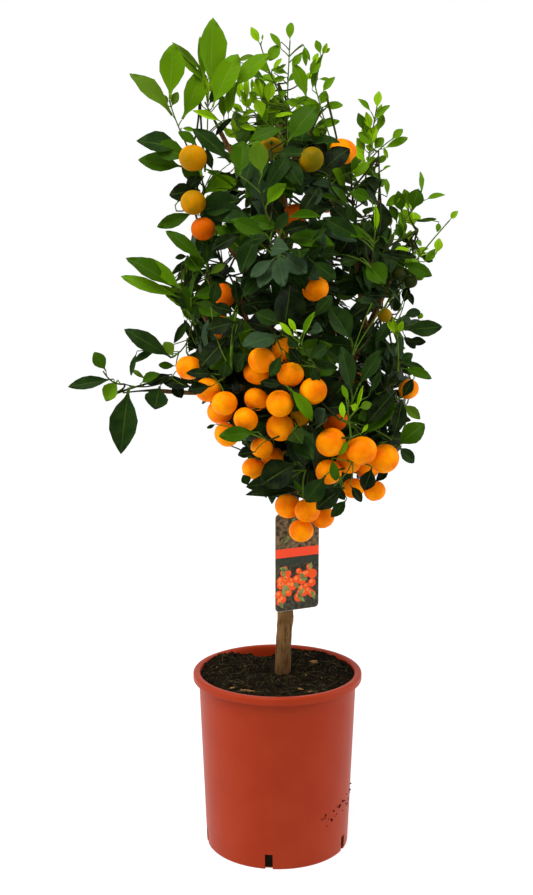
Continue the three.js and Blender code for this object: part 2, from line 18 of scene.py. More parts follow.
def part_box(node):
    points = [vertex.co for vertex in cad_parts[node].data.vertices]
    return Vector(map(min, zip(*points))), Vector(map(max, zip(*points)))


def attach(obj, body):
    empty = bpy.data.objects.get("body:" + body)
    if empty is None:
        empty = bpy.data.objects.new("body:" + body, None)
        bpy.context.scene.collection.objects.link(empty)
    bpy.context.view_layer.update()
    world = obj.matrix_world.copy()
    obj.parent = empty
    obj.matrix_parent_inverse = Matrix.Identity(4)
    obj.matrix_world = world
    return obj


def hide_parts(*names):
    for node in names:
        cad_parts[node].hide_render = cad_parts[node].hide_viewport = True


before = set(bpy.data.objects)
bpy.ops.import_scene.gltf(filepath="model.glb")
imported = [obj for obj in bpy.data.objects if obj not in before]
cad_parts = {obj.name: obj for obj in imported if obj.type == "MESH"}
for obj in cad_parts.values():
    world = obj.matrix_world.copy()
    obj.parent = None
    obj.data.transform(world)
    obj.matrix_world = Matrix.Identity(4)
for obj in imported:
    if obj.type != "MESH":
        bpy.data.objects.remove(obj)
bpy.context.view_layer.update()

bl_info = {
    "name": "Potted calamondin",
    "version": (1, 0, 0),
    "blender": (4, 5, 0),
    "location": "3D View > Sidebar > Calamondin",
    "description": "Grows a potted calamondin orange tree round its packed solids",
    "category": "Object",
}

MM = 0.001
DEGREE = math.pi / 180
TURN = 2 * math.pi
GOLDEN_TURN = 137.508 * DEGREE
BODY = "root"
UP = np.array((0.0, 0.0, 1.0))

# ---- the plant's sizes, in millimetres

POT_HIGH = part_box("pot")[1] / MM
Pot = namedtuple("Pot", "height rim lip lip_height foot foot_round wall floor sides")
POT = Pot(POT_HIGH.z, POT_HIGH.x, 6.5, 9, 85, 3, 2, 2.5, 144)
Slots = namedtuple("Slots", "count width height reach first")
SLOTS = Slots(5, 9, 19, 7, -7 * DEGREE)
# Soil on the pot's wall: how many specks, from which turn to which, between which heights, and their sizes in
# metres.
Specks = namedtuple("Specks", "count first last low high smallest largest seed")
SPECKS = Specks(30, 34 * DEGREE, 84 * DEGREE, 42, 76, 0.002, 0.0052, 5)
COMPOST_TOP = 209
COMPOST_EDGE_DROP = 1.5
COMPOST_HEAP = 0.8
# Swells and dips of the compost: the middle of each, how far it spreads and how far it rises.
COMPOST_SWELLS = ((-20, 88, 27, -10), (46, 80, 30, 2), (-74, 46, 26, 3), (20, -40, 24, -1.5))
# Fibres on the compost: how many, and how far from the middle.
COMPOST_FIBRES = (300, 84)
# The chips: how many forms, their seed, the width of one that is one long, and what divides a bit's height.
CHIP_COUNT = 3
CHIP_SEED = 4
CHIP_WIDTH = 0.62
BIT_HEIGHT = 0.9
# Bits of bark that lie on the compost: the middle of each, its length, width and height, and its turn.
COMPOST_BITS = (
    (-38, -62, 30, 6, 8, -12 * DEGREE), (-50, -56, 14, 5, 7, 24 * DEGREE), (-13, 80, 16, 7, 10, 8 * DEGREE),
    (44, 34, 15, 12, 22, 60 * DEGREE), (36, -68, 13, 5, 7, 12 * DEGREE), (26, -64, 9, 5, 6, -30 * DEGREE),
)

TRUNK_FOOT = (6, 0, 200)
TRUNK_BEND = (9.5, 1, 330)
TRUNK_FORK = (22, 3, 480)
TRUNK_RADII = (9.1, 7.4)
# The flared root collar and the one knot. Their heights are shares of the trunk's length.
ROOT_FLARE = 0.8
ROOT_FLARE_HEIGHT = 0.09
KNOT_AT = 0.27
KNOT_HEIGHT = 0.04
KNOT_TURN = 180 * DEGREE
KNOT_RISE = 1.6

# The gap between two masses, and round the compost.
GAP = 0.3
CROWN_MIDDLE = np.array((18.0, 0.0, 640.0))
# How much of its way from the crown's middle a mass faces, in X, Y and Z.
CROWN_FACING = np.array((1.0, 1.0, 0.45))
# Where leaves look: a part of their mass's facing, and the light; or to the front, on masses of thin shoots.
LOOK_SHARE = np.array((1.0, 1.0, 0.5))
LIGHT = np.array((0.0, -0.5, 0.6))
SHOOT_LOOK = np.array((0.0, -1.0, 0.4))
# How far a bough's bend follows its bearer, and a stem's its bough; and a stem's radius at its tip.
LIMB_FOLLOW = -0.08
STEM_BEND = 0.25
STEM_TIP = 0.9
# A twig's radius at its foot and its tip, by what it bears or where it grows.
RADII = {
    "bunch": (1.5, 1.1), "stalk": (1.0, 0.9), "key": (1.2, 0.8), "leaf": (0.8, 0.6), "shoot": (1.3, 0.8),
    "side": (0.95, 0.65),
}

# The masses of the crown: how each grows, its middle and half sizes, the limb that bears it and how far along,
# its bough's radii, and where its stem aims, as a share of its half sizes.
Mass = namedtuple("Mass", "habit at size on share bough aim")
MASSES = {
    "top_centre": Mass("shoots", (0, 20, 886), (56, 56, 74), "trunk", 1, (6.6, 2.8), (0, 0, 0.2)),
    "top_left": Mass("broad", (-92, -14, 880), (66, 60, 80), "top_centre", 0.66, (3.8, 2.6), (0, 0, 0.1)),
    "top_right": Mass("shoots", (58, -14, 866), (48, 54, 74), "top_centre", 0.85, (3.2, 2.5), (0, 0, 0.2)),
    "upper_left": Mass("broad", (-96, -22, 766), (66, 66, 66), "top_centre", 0.4, (3.6, 2.6), (-0.1, 0, 0)),
    "upper_front": Mass("sunny", (-10, -62, 820), (76, 66, 64), "top_centre", 0.6, (3.6, 2.6), (0, -0.1, 0)),
    "middle_front": Mass("dense", (2, -86, 718), (80, 70, 64), "top_centre", 0.4, (3.6, 2.6), (0, -0.1, 0)),
    "upper_back": Mass("sunny", (10, 84, 800), (92, 62, 76), "top_centre", 0.62, (3.6, 2.6), (0, 0.1, 0)),
    "right_tip": Mass("shoots", (152, 0, 728), (54, 60, 62), "trunk", 0.9, (5.4, 2.8), (0.2, 0, 0.1)),
    "right_top": Mass("shoots", (112, 4, 806), (52, 60, 76), "right_tip", 0.82, (3, 2.5), (0, 0, 0.2)),
    "upper_right": Mass("airy", (80, -40, 758), (66, 60, 62), "right_tip", 0.66, (3.2, 2.5), (0, -0.1, 0)),
    "right": Mass("airy", (120, -14, 648), (72, 70, 64), "right_tip", 0.5, (3.4, 2.6), (0.1, -0.1, 0)),
    "low_right": Mass("airy", (124, -10, 552), (66, 74, 64), "right_tip", 0.34, (3.4, 2.6), (0.2, 0, 0)),
    "left": Mass("dense", (-106, 4, 668), (72, 74, 66), "trunk", 0.93, (5.2, 2.8), (-0.1, 0, 0)),
    "droop": Mass("spray", (-182, -20, 548), (64, 48, 74), "left", 0.52, (3, 2.4), (-0.3, 0, -0.1)),
    "low_left": Mass("skirt", (-82, -14, 568), (66, 70, 64), "left", 0.34, (3.2, 2.5), (-0.1, -0.1, 0)),
    "front": Mass("dense", (0, -92, 618), (78, 70, 64), "trunk", 0.96, (4.8, 2.8), (0, -0.1, 0)),
    "low_front": Mass("skirt", (16, -88, 526), (66, 68, 60), "front", 0.42, (3.2, 2.5), (0, -0.1, 0)),
    "back_left": Mass("dense", (-62, 92, 694), (84, 66, 72), "trunk", 0.98, (5, 2.8), (-0.1, 0.1, 0)),
    "back_right": Mass("dense", (86, 88, 670), (84, 66, 72), "back_left", 0.3, (3.8, 2.7), (0.1, 0.1, 0)),
    "low_back_left": Mass("skirt", (-52, 84, 580), (80, 66, 66), "back_left", 0.22, (3.4, 2.6), (-0.1, 0.1, 0)),
    "low_back_right": Mass("skirt", (76, 84, 556), (80, 66, 66), "back_right", 0.3, (3, 2.5), (0.1, 0.1, 0)),
    "bottom_left": Mass("skirt", (-28, -30, 478), (58, 58, 54), "trunk", 0.82, (3, 2.5), (-0.1, -0.1, 0)),
    "bottom_right": Mass("skirt", (84, -42, 480), (62, 60, 56), "trunk", 0.85, (3.2, 2.5), (0.1, -0.1, 0)),
    "bottom_back": Mass("skirt", (24, 60, 474), (76, 56, 56), "trunk", 0.87, (3, 2.5), (0, 0.1, 0)),
    "bottom_front": Mass("skirt", (26, -50, 432), (50, 42, 50), "trunk", 0.79, (2.8, 2.4), (0, -0.1, 0)),
}
FOLIAGE_NODES = tuple(f"foliage_{name}" for name in MASSES)
BOUGH_NODES = tuple(f"bough_{name}" for name in MASSES)

# How a mass grows: shoots on its stem, side twigs on each, leaves on a twig, a leaf's length, how far leaves
# hang (or stand, below 0), the angle at which they part from their twig, how far shoots turn up at their ends
# (or down, below 0), how far round behind the mass they go, and the shares of its tints.
Habit = namedtuple("Habit", "shoots sides leaves leaf hang part rise behind tints")
# Among the tints, the near-black one is painted shade, most of it on the skirts and dense masses inside and under
# the crown.
# The greyish blue-green tint is painted sheen.
HABITS = {
    "broad": Habit(7, 1, 5, 54, -0.35, 50 * DEGREE, 0.2, 1.5, {"bright": 3, "green": 4, "deep": 2}),
    "shoots": Habit(15, 2, 7, 24, -0.7, 38 * DEGREE, 0.3, 1.4, {"bright": 4, "fresh": 5, "green": 1}),
    "sunny": Habit(13, 2, 5, 46, 0.05, 58 * DEGREE, 0.15, 1.6, {"deep": 4, "dark": 4, "green": 6, "bright": 1}),
    "dense": Habit(13, 2, 5, 46, 0.12, 60 * DEGREE, 0.12, 1.6, {"deep": 4, "dark": 6, "green": 2, "dusk": 4}),
    "airy": Habit(12, 2, 5, 37, 0.05, 55 * DEGREE, 0.15, 1.6, {"deep": 5, "dark": 4, "green": 3, "dusk": 2}),
    "skirt": Habit(12, 2, 5, 47, 0.35, 60 * DEGREE, -0.1, 1.6, {"dark": 7, "deep": 3, "green": 1, "dusk": 4}),
    "spray": Habit(3, 1, 3, 40, 0.3, 55 * DEGREE, -0.1, 1.5, {"deep": 4, "green": 2}),
}
# Where shoots spring from the stem, how far they reach, how clear of other masses they end, how much of a twig
# is bare, and where its side twigs start and end.
TWIG = {"spring_from": 0.3, "reach": 0.66, "clear": 9, "bare": 0.3, "side_from": 0.35, "side_to": 0.85}

# The bunches of fruit: how ripe each is, the radius of its fruits and the middle of each fruit. A deep bunch is
# painted shade: its darker orange stands for fruit that hangs back in the crown's shade.
Bunch = namedtuple("Bunch", "ripeness radius places")
BUNCHES = (
    Bunch("turning", 15, ((-92, -60, 804),)),
    Bunch("turning", 14, ((-92, -60, 757),)),
    Bunch("deep", 13.6, ((-82, -54, 729),)),
    Bunch("green", 13.5, ((-8, -44, 814),)),
    Bunch("green", 13.6, ((34, -86, 801),)),
    Bunch("ripe", 14.6, ((70, -44, 812),)),
    Bunch("deep", 13.4, ((17, -66, 742),)),
    Bunch("ripe", 14.2, ((39, -92, 666),)),
    Bunch("deep", 13.3, ((-59, -62, 658), (-60, -62, 622))),
    Bunch("ripe", 14.4, ((-98, -66, 579),)),
    Bunch("ripe", 14.5, ((-18, -118, 592), (-24, -92, 575), (7, -94, 601))),
    Bunch("ripe", 14.5, ((13, -112, 576),)),
    Bunch("ripe", 15, ((36, -119, 560),)),
    Bunch("ripe", 14.3, ((-75, -90, 556), (-58, -108, 545), (-63, -82, 530))),
    Bunch("ripe", 13.4, ((-36, -113, 529), (-24, -94, 549))),
    Bunch("ripe", 15, ((1, -120, 546), (4, -100, 519))),
    Bunch("turning", 12.5, ((22, -90, 528),)),
    Bunch("ripe", 13.6, ((-57, -94, 512),)),
    Bunch("deep", 14.6, ((61, -92, 525),)),
    Bunch("ripe", 16.5, ((57, -119, 504),)),
    Bunch("ripe", 16.4, ((89, -119, 495), (112, -104, 485))),
    Bunch("ripe", 14.2, ((76, -92, 478), (56, -106, 471), (97, -76, 468))),
    Bunch("ripe", 12, ((85, -84, 449), (104, -80, 446))),
    Bunch("ripe", 12.8, ((-18, -90, 494), (-8, -70, 480), (-26, -80, 470))),
    Bunch("ripe", 14.4, ((11, -66, 424), (31, -86, 422))),
    Bunch("ripe", 13.6, ((50, -64, 411), (26, -76, 400))),
    Bunch("ripe", 12, ((147, -30, 551),)),
    Bunch("ripe", 15, ((62, 116, 611), (44, 124, 587))),
    Bunch("ripe", 15, ((-56, 116, 556), (-82, 104, 550), (-70, 108, 577))),
    Bunch("ripe", 15, ((116, 92, 524), (96, 104, 514), (98, 98, 540))),
    Bunch("turning", 14, ((-24, 124, 716),)),
    Bunch("ripe", 14, ((60, 116, 762),)),
    Bunch("ripe", 15, ((38, 82, 446), (8, 84, 444), (24, 76, 466))),
    Bunch("green", 7.8, ((116, -62, 636),)),
    Bunch("young", 7.6, ((147, -34, 671), (133, -38, 680))),
)
FRUIT_SEED = 77
PEEL_SEED = 909
FRUIT_ASIDE = np.array((0.3, 1.0, 0.1))
FRUIT_APART = 1.03
FRUIT_ROUNDS = 12
FRUIT_SPRING = 0.6
# How high a bunch's twig and a stalk arch, as shares of their reach, and how far apart stalks leave the twig.
TWIG_ARCH = 0.22
STALK_ARCH = 0.2
STALK_STEP = 0.2
# How far leaves keep from a fruit; and how far outside it, over what share of its radius, none may hang.
FRUIT_CLEAR = 1.5
FRUIT_BARE = (40, 0.7)
# The fruit that no leaf hides: it stands before this depth, and so much of its radius shows. The veiled bunches
# are left out, so leaves may hang before them.
FRUIT_SHOWN = (-40, 0.85)
VEILED = (8, 18)

# The main view: the camera's place in millimetres, how far it looks down, its lens and the picture's size.
VIEW_PLACE = np.array((-13.0, -1500.0, 722.0))
VIEW_PITCH = 9.18 * DEGREE
VIEW_LENS = 52.8
VIEW_SIZE = (533, 895)
VIEW_FOCUS = VIEW_LENS / 36 * VIEW_SIZE[1]

# The shoots that show most: the mass that bears each, its depth, its tint, the start, bend and end of its stem
# in the main view's pixels, and its leaves: root, tip, width and, where it differs, tint.
Shoot = namedtuple("Shoot", "mass depth tint stem leaves")
# A near-black leaf here is painted shade.
# A pale leaf here is partly the underside's own colour and partly painted sheen.
SHOOTS = (
    Shoot("top_left", -24, "bright", ((205, 172), (208, 130), (208, 96)), (
        (211, 92, 213, 18, 26), (204, 84, 200, 38, 9), (212, 108, 237, 56, 23), (208, 78, 174, 44, 6, "pale"),
        (205, 84, 176, 52, 9), (208, 104, 203, 74, 6, "fresh"), (209, 106, 226, 84, 13, "deep"),
        (222, 122, 193, 111, 8, "fresh"), (203, 107, 189, 92, 8), (233, 90, 268, 56, 19),
        (228, 119, 236, 84, 12), (224, 120, 222, 95, 9), (213, 140, 231, 119, 6, "dark"),
    )),
    Shoot("top_left", -30, "bright", ((190, 152), (176, 124), (169, 100)), (
        (170, 100, 173, 44, 25), (173, 116, 132, 76, 15, "pale"), (170, 108, 178, 92, 9, "pale"),
        (168, 106, 161, 94, 6), (182, 120, 201, 70, 20), (181, 128, 196, 131, 5),
    )),
    Shoot("upper_left", -34, "green", ((205, 190), (200, 170), (186, 152)), (
        (190, 159, 155, 147, 20), (183, 150, 137, 141, 20, "deep"), (198, 147, 179, 132, 11, "green"),
        (213, 172, 206, 149, 9, "dark"), (184, 167, 139, 160, 19), (204, 176, 186, 190, 13, "dark"),
        (231, 163, 194, 130, 18, "deep"), (203, 186, 183, 164, 15), (240, 192, 203, 168, 5, "bright"),
    )),
    Shoot("upper_left", -40, "green", ((215, 215), (200, 205), (190, 198)), (
        (200, 190, 171, 195, 18, "dark"), (195, 212, 157, 227, 14),
    )),
    Shoot("upper_left", -50, "green", ((215, 300), (208, 285), (207, 266)), (
        (207, 266, 207, 240, 13, "deep"), (206, 262, 167, 232, 14), (188, 256, 175, 258, 6, "dark"),
        (207, 268, 184, 262, 18), (208, 275, 226, 264, 8, "pale"),
    )),
    Shoot("upper_front", -118, "deep", ((270, 222), (262, 205), (258, 178)), (
        (262, 176, 256, 141, 20, "pale"), (240, 176, 243, 141, 23, "green"), (262, 195, 287, 155, 15),
        (266, 206, 286, 184, 14, "bright"),
    )),
    Shoot("middle_front", -122, "deep", ((276, 262), (272, 248), (269, 236)), (
        (266, 234, 231, 220, 17, "green"), (270, 238, 250, 241, 13), (272, 232, 288, 212, 12),
        (244, 233, 213, 250, 13, "dark"), (286, 218, 320, 217, 9, "green"), (282, 232, 310, 225, 12, "dark"),
    )),
    Shoot("left", -14, "bright", ((196, 325), (190, 316), (179, 290)), (
        (182, 289, 149, 258, 17), (180, 292, 129, 260, 16, "green"), (181, 298, 123, 277, 13),
        (188, 312, 170, 292, 10, "deep"), (186, 312, 160, 286, 9), (195, 318, 180, 285, 14, "green"),
        (180, 285, 187, 266, 4, "pale"), (190, 322, 182, 305, 6),
    )),
    Shoot("low_left", -30, "deep", ((192, 322), (190, 350), (170, 358)), (
        (174, 357, 164, 342, 14, "pale"), (172, 358, 127, 331, 18), (160, 352, 131, 341, 5, "pale"),
        (158, 349, 133, 363, 8), (137, 351, 131, 376, 6), (176, 366, 159, 365, 8, "green"),
        (188, 318, 174, 343, 9), (197, 346, 185, 321, 8, "dark"),
    )),
    Shoot("droop", -26, "deep", ((172, 378), (148, 392), (124, 384)), (
        (129, 387, 121, 453, 29, "deep"), (140, 384, 160, 374, 9, "green"), (160, 386, 155, 409, 25),
        (172, 374, 149, 384, 10, "dark"), (194, 388, 162, 380, 13, "dark"), (176, 371, 194, 384, 9, "dark"),
        (172, 380, 182, 398, 13, "dark"), (146, 380, 132, 370, 5, "pale"),
    )),
    Shoot("droop", -28, "deep", ((124, 384), (112, 386), (103, 371)), (
        (106, 371, 94, 352, 14, "green"), (114, 379, 68, 387, 13), (118, 380, 106, 401, 17, "bright"),
    )),
    Shoot("top_centre", 10, "bright", ((287, 135), (287, 90), (290, 41)), (
        (290, 41, 291, 23, 8), (300, 108, 286, 101, 5), (303, 44, 310, 61, 4), (303, 52, 293, 66, 8),
        (304, 45, 306, 66, 6), (307, 98, 293, 63, 14), (287, 77, 273, 81, 6), (282, 50, 270, 33, 7),
        (281, 42, 269, 61, 12), (277, 98, 287, 92, 7), (278, 103, 289, 107, 7), (274, 73, 286, 64, 4, "pale"),
        (285, 96, 269, 104, 7, "fresh"), (284, 107, 267, 113, 6, "fresh"), (288, 74, 272, 70, 7),
        (306, 99, 303, 80, 6, "fresh"), (303, 118, 296, 104, 8, "fresh"), (276, 116, 284, 100, 7, "fresh"),
        (276, 124, 291, 112, 8),
    )),
    Shoot("top_centre", 6, "fresh", ((290, 112), (272, 84), (260, 43)), (
        (260, 44, 251, 27, 8), (272, 70, 281, 59, 5), (270, 73, 258, 60, 9, "bright"),
        (265, 79, 248, 70, 8, "green"), (262, 41, 263, 34, 2), (268, 104, 271, 81, 12), (262, 101, 256, 78, 9),
        (240, 101, 239, 79, 9), (251, 92, 252, 79, 4), (248, 102, 247, 79, 6), (237, 62, 253, 56, 6, "pale"),
        (256, 98, 264, 84, 5), (258, 108, 250, 92, 7),
    )),
    Shoot("top_centre", 0, "fresh", ((285, 140), (262, 120), (245, 104)), (
        (262, 119, 256, 100, 11), (253, 116, 239, 122, 6, "bright"), (241, 113, 234, 107, 4, "bright"),
        (238, 126, 256, 130, 7), (246, 110, 250, 98, 6), (240, 118, 256, 111, 5), (272, 118, 292, 114, 5),
        (268, 124, 262, 108, 7, "bright"), (230, 135, 222, 126, 4), (236, 132, 232, 118, 5),
        (250, 126, 268, 122, 5, "dark"), (246, 104, 240, 90, 5, "bright"), (245, 113, 231, 104, 7),
        (250, 110, 242, 97, 7), (238, 139, 224, 129, 8), (233, 112, 226, 102, 4), (228, 122, 240, 132, 4),
    )),
    Shoot("top_right", 0, "bright", ((345, 180), (322, 120), (312, 72)), (
        (321, 55, 316, 40, 7), (322, 55, 327, 43, 5, "fresh"), (323, 54, 330, 48, 4, "fresh"),
        (313, 66, 318, 53, 6, "fresh"), (309, 77, 321, 57, 10), (322, 93, 335, 77, 8), (318, 79, 331, 80, 4),
        (321, 105, 326, 91, 10), (312, 90, 316, 71, 7), (312, 124, 319, 137, 7),
        (320, 132, 326, 129, 4, "pale"), (321, 107, 343, 105, 9), (317, 128, 339, 121, 7),
        (322, 118, 305, 98, 13),
    )),
    Shoot("upper_front", -62, "green", ((290, 190), (288, 160), (286, 142)), (
        (287, 143, 316, 107, 25), (288, 127, 250, 141, 13),
    )),
    Shoot("right_top", 2, "bright", ((364, 190), (369, 150), (377, 106)), (
        (377, 109, 379, 91, 8, "fresh"), (371, 112, 358, 99, 6), (374, 121, 389, 106, 7),
        (363, 131, 358, 113, 9, "green"), (371, 130, 366, 112, 8, "fresh"), (378, 132, 383, 114, 8),
        (373, 146, 359, 133, 11), (366, 151, 357, 138, 8), (372, 143, 376, 126, 10, "fresh"),
        (374, 150, 383, 138, 9), (378, 118, 382, 104, 5, "fresh"), (368, 138, 362, 122, 7),
        (374, 152, 366, 146, 6, "fresh"), (373, 134, 381, 122, 6),
    )),
    Shoot("right_top", 0, "bright", ((366, 165), (378, 148), (394, 138)), (
        (391, 140, 403, 129, 8), (383, 149, 407, 138, 8), (384, 146, 388, 158, 4, "fresh"),
        (377, 165, 386, 156, 7),
    )),
    Shoot("right_top", -6, "bright", ((345, 200), (360, 184), (386, 168)), (
        (382, 170, 391, 166, 3), (352, 180, 369, 163, 10), (347, 190, 334, 166, 10), (387, 197, 386, 179, 6),
    )),
    Shoot("right_tip", -2, "bright", ((385, 245), (400, 225), (421, 200)), (
        (421, 195, 420, 172, 6), (412, 210, 418, 190, 17, "green"), (405, 192, 386, 206, 9),
        (425, 200, 445, 195, 6), (402, 213, 398, 191, 12, "green"), (409, 206, 404, 189, 9),
        (397, 223, 390, 206, 9, "green"), (404, 228, 398, 212, 8), (402, 240, 396, 224, 8, "green"),
        (412, 222, 436, 219, 4, "green"), (439, 222, 437, 232, 6), (391, 228, 389, 212, 7, "fresh"),
    )),
    Shoot("right_tip", 0, "fresh", ((415, 262), (430, 242), (450, 220)), (
        (450, 220, 458, 211, 6), (436, 254, 439, 239, 9), (424, 262, 435, 249, 9, "bright"),
        (420, 257, 433, 261, 8, "deep"), (408, 242, 411, 230, 6), (420, 250, 405, 240, 9, "dark"),
    )),
    Shoot("upper_right", -70, "dark", ((330, 185), (328, 172), (326, 162)), (
        (322, 171, 348, 150, 22), (352, 172, 356, 156, 8, "green"),
    )),
    Shoot("upper_right", -92, "deep", ((372, 268), (374, 240), (376, 216)), (
        (375, 235, 375, 204, 6, "fresh"), (362, 240, 323, 218, 18), (368, 240, 338, 227, 12, "green"),
        (378, 240, 380, 204, 19, "dark"), (372, 200, 350, 192, 13, "green"), (362, 258, 340, 263, 12),
        (345, 255, 315, 252, 8), (352, 224, 332, 207, 12, "dark"), (357, 226, 348, 204, 11, "deep"),
        (364, 262, 385, 284, 24, "green"),
    )),
    Shoot("right_tip", -40, "green", ((376, 258), (390, 256), (402, 262)), (
        (380, 252, 417, 258, 8, "dark"), (400, 263, 432, 276, 14), (416, 276, 422, 280, 8, "pale"),
    )),
    Shoot("right", -92, "dark", ((352, 356), (352, 350), (352, 342)), (
        (352, 342, 328, 306, 24, "deep"), (372, 303, 350, 318, 18), (395, 295, 365, 296, 8),
    )),
    Shoot("right", -56, "fresh", ((398, 372), (399, 352), (397, 334)), (
        (396, 335, 387, 320, 6), (397, 334, 393, 318, 5), (398, 334, 403, 321, 7),
    )),
    Shoot("right", -30, "deep", ((385, 335), (400, 328), (412, 326)), (
        (404, 330, 440, 327, 17), (406, 341, 426, 342, 9, "dark"), (402, 336, 415, 348, 8, "dark"),
        (403, 316, 420, 312, 9), (418, 320, 422, 313, 6, "fresh"), (407, 290, 413, 305, 7, "dark"),
        (404, 304, 408, 287, 9, "dark"),
    )),
    Shoot("low_right", -50, "deep", ((385, 405), (395, 385), (400, 362)), (
        (402, 368, 430, 378, 11, "green"), (400, 362, 425, 370, 8), (400, 360, 412, 354, 10),
        (402, 398, 412, 380, 11, "dark"), (403, 404, 420, 419, 11, "pale"),
    )),
    Shoot("low_right", -84, "green", ((380, 440), (390, 447), (398, 446)), (
        (398, 446, 423, 425, 21), (400, 447, 414, 463, 13, "deep"), (390, 468, 376, 481, 9, "dark"),
    )),
    Shoot("front", -124, "dark", ((340, 420), (350, 412), (354, 396)), (
        (352, 395, 341, 346, 18, "deep"), (358, 387, 381, 350, 16, "deep"), (368, 397, 381, 370, 8, "deep"),
        (362, 430, 396, 390, 18), (362, 437, 395, 406, 17, "green"), (392, 440, 401, 402, 14),
    )),
    Shoot("low_front", -136, "fresh", ((351, 438), (349, 415), (345, 392)), (
        (349, 402, 342, 385, 6, "bright"), (357, 410, 363, 386, 4), (344, 420, 342, 403, 7),
        (350, 405, 358, 409, 8), (359, 408, 371, 404, 9, "pale"), (361, 434, 368, 424, 4),
        (351, 438, 340, 455, 6, "bright"),
    )),
    Shoot("front", -132, "deep", ((320, 372), (308, 356), (297, 338)), (
        (294, 338, 280, 323, 6, "fresh"), (297, 334, 289, 319, 6, "fresh"), (303, 338, 315, 312, 6, "bright"),
        (300, 348, 288, 338, 13), (308, 360, 328, 345, 14), (303, 366, 289, 348, 13, "dark"),
        (310, 364, 318, 382, 11), (306, 362, 338, 368, 10),
    )),
    Shoot("front", -118, "dark", ((296, 350), (290, 342), (284, 330)), (
        (282, 335, 290, 283, 34), (285, 325, 255, 313, 16, "deep"), (313, 318, 331, 296, 14, "deep"),
    )),
    Shoot("front", -130, "deep", ((292, 398), (291, 392), (289, 386)), (
        (285, 385, 260, 382, 10, "dark"), (289, 387, 312, 421, 13, "bright"),
    )),
    Shoot("front", -124, "deep", ((276, 338), (280, 345), (282, 353)), (
        (282, 354, 271, 376, 12), (284, 350, 292, 360, 5, "green"),
    )),
    Shoot("bottom_right", -126, "dark", ((352, 462), (362, 462), (371, 466)), (
        (372, 467, 364, 490, 17), (332, 458, 336, 480, 10, "green"), (350, 485, 361, 501, 10),
        (334, 486, 345, 500, 9),
    )),
    Shoot("low_left", -104, "dark", ((232, 370), (228, 374), (222, 380)), (
        (222, 380, 226, 361, 14, "deep"), (215, 374, 186, 373, 10), (212, 386, 188, 390, 12),
        (232, 345, 243, 318, 9), (238, 322, 208, 330, 17), (236, 312, 212, 306, 12),
        (211, 307, 217, 281, 12, "deep"), (238, 309, 234, 280, 11, "dark"),
    )),
    Shoot("low_front", -124, "dark", ((268, 440), (262, 436), (258, 432)), (
        (258, 432, 221, 436, 16, "green"), (216, 424, 207, 428, 4), (255, 452, 238, 455, 11),
    )),
    Shoot("bottom_left", -104, "dark", ((306, 470), (304, 466), (298, 462)), (
        (298, 462, 260, 486, 30), (302, 490, 246, 495, 12), (292, 478, 246, 487, 17),
        (248, 486, 243, 475, 10, "deep"), (303, 495, 294, 480, 6, "green"),
    )),
    Shoot("bottom_right", -118, "dark", ((338, 470), (334, 468), (328, 470)), (
        (326, 475, 306, 502, 24, "deep"), (345, 487, 318, 508, 18), (347, 499, 332, 516, 12, "deep"),
    )),
)
# The profile that the other leaves keep within in the main view.
PROFILE = (
    (240, 98), (262, 72), (285, 70), (315, 66), (325, 98), (336, 138), (352, 140), (364, 122), (384, 130),
    (374, 165), (390, 186), (424, 204), (432, 235), (425, 262), (430, 284), (404, 291), (403, 312), (428, 318),
    (404, 348), (418, 378), (412, 395), (410, 440), (392, 460), (376, 480), (352, 490), (332, 505), (300, 522),
    (280, 512), (255, 490), (250, 468), (240, 442), (217, 428), (196, 392), (182, 372), (185, 350), (190, 325),
    (172, 305), (163, 280), (186, 262), (192, 240), (198, 222), (172, 200), (188, 165), (178, 145), (204, 134),
    (232, 108),
)
# Where sky shows through the crown in the main view: the middle of each gap and its half width.
SKY = (
    (213, 160, 6), (220, 164, 7), (228, 168, 4), (235, 205, 5), (246, 208, 4), (287, 205, 6), (218, 231, 4),
    (227, 252, 6), (219, 261, 5), (243, 273, 4), (234, 262, 3), (260, 256, 4), (277, 283, 4), (267, 295, 3),
    (238, 312, 3), (249, 319, 4), (287, 255, 4), (195, 295, 3), (204, 283, 3), (184, 279, 3), (298, 193, 5),
    (293, 204, 5), (403, 271, 3), (412, 273, 3), (388, 304, 6), (378, 313, 5), (371, 319, 6), (365, 324, 4),
    (348, 303, 4), (354, 309, 3), (346, 314, 3), (358, 297, 3), (412, 250, 3), (415, 231, 7), (424, 236, 5),
    (393, 186, 7), (381, 196, 6), (294, 90, 8), (280, 88, 5), (312, 93, 4), (297, 52, 4), (205, 262, 3),
    (390, 340, 3), (376, 338, 3), (244, 118, 3), (225, 130, 5), (236, 143, 3), (212, 128, 5), (203, 120, 4),
    (204, 130, 4), (385, 215, 4), (407, 208, 3),
)
SKY_MIDDLES = np.array(SKY, float)[:, :2]
SKY_RADII = np.array(SKY, float)[:, 2]

LEAF_PETIOLE = 0.11
LEAF_GLOSS = 0.03
LEAF_RIB = 0.045
LEAF_MEAN_WIDTH = 0.5
LEAF_TURN = 144 * DEGREE
LEAF_OUTWARD = 0.2
# The turns that a leaf tries about its twig, the room that it needs and the ample room at which it stops, and
# how far it may reach out of its mass: the share of the half sizes, and the depth.
LEAF_TWISTS = (0, 0.5, -0.5, 1.0, -1.0, 1.7, -1.7)
LEAF_ROOM = (3.2, 12)
LEAF_INSIDE = (1.04, -14)
# How far leaves keep from the trunk and, across, in depth and upward, from the label.
TRUNK_CLEAR = 4
LABEL_CLEAR = (4, 16, 2)
# What a leaf's turn costs it in room.
TWIST_COST = 2.0
# Where a leaf's place is tested, as shares of its length: on its rib and at its two edges.
RIB_TESTS = (0.3, 0.45, 0.6, 0.75, 0.98)
EDGE_TESTS = (0.4, 0.6, 0.78)
EDGE_SHARE = 0.42
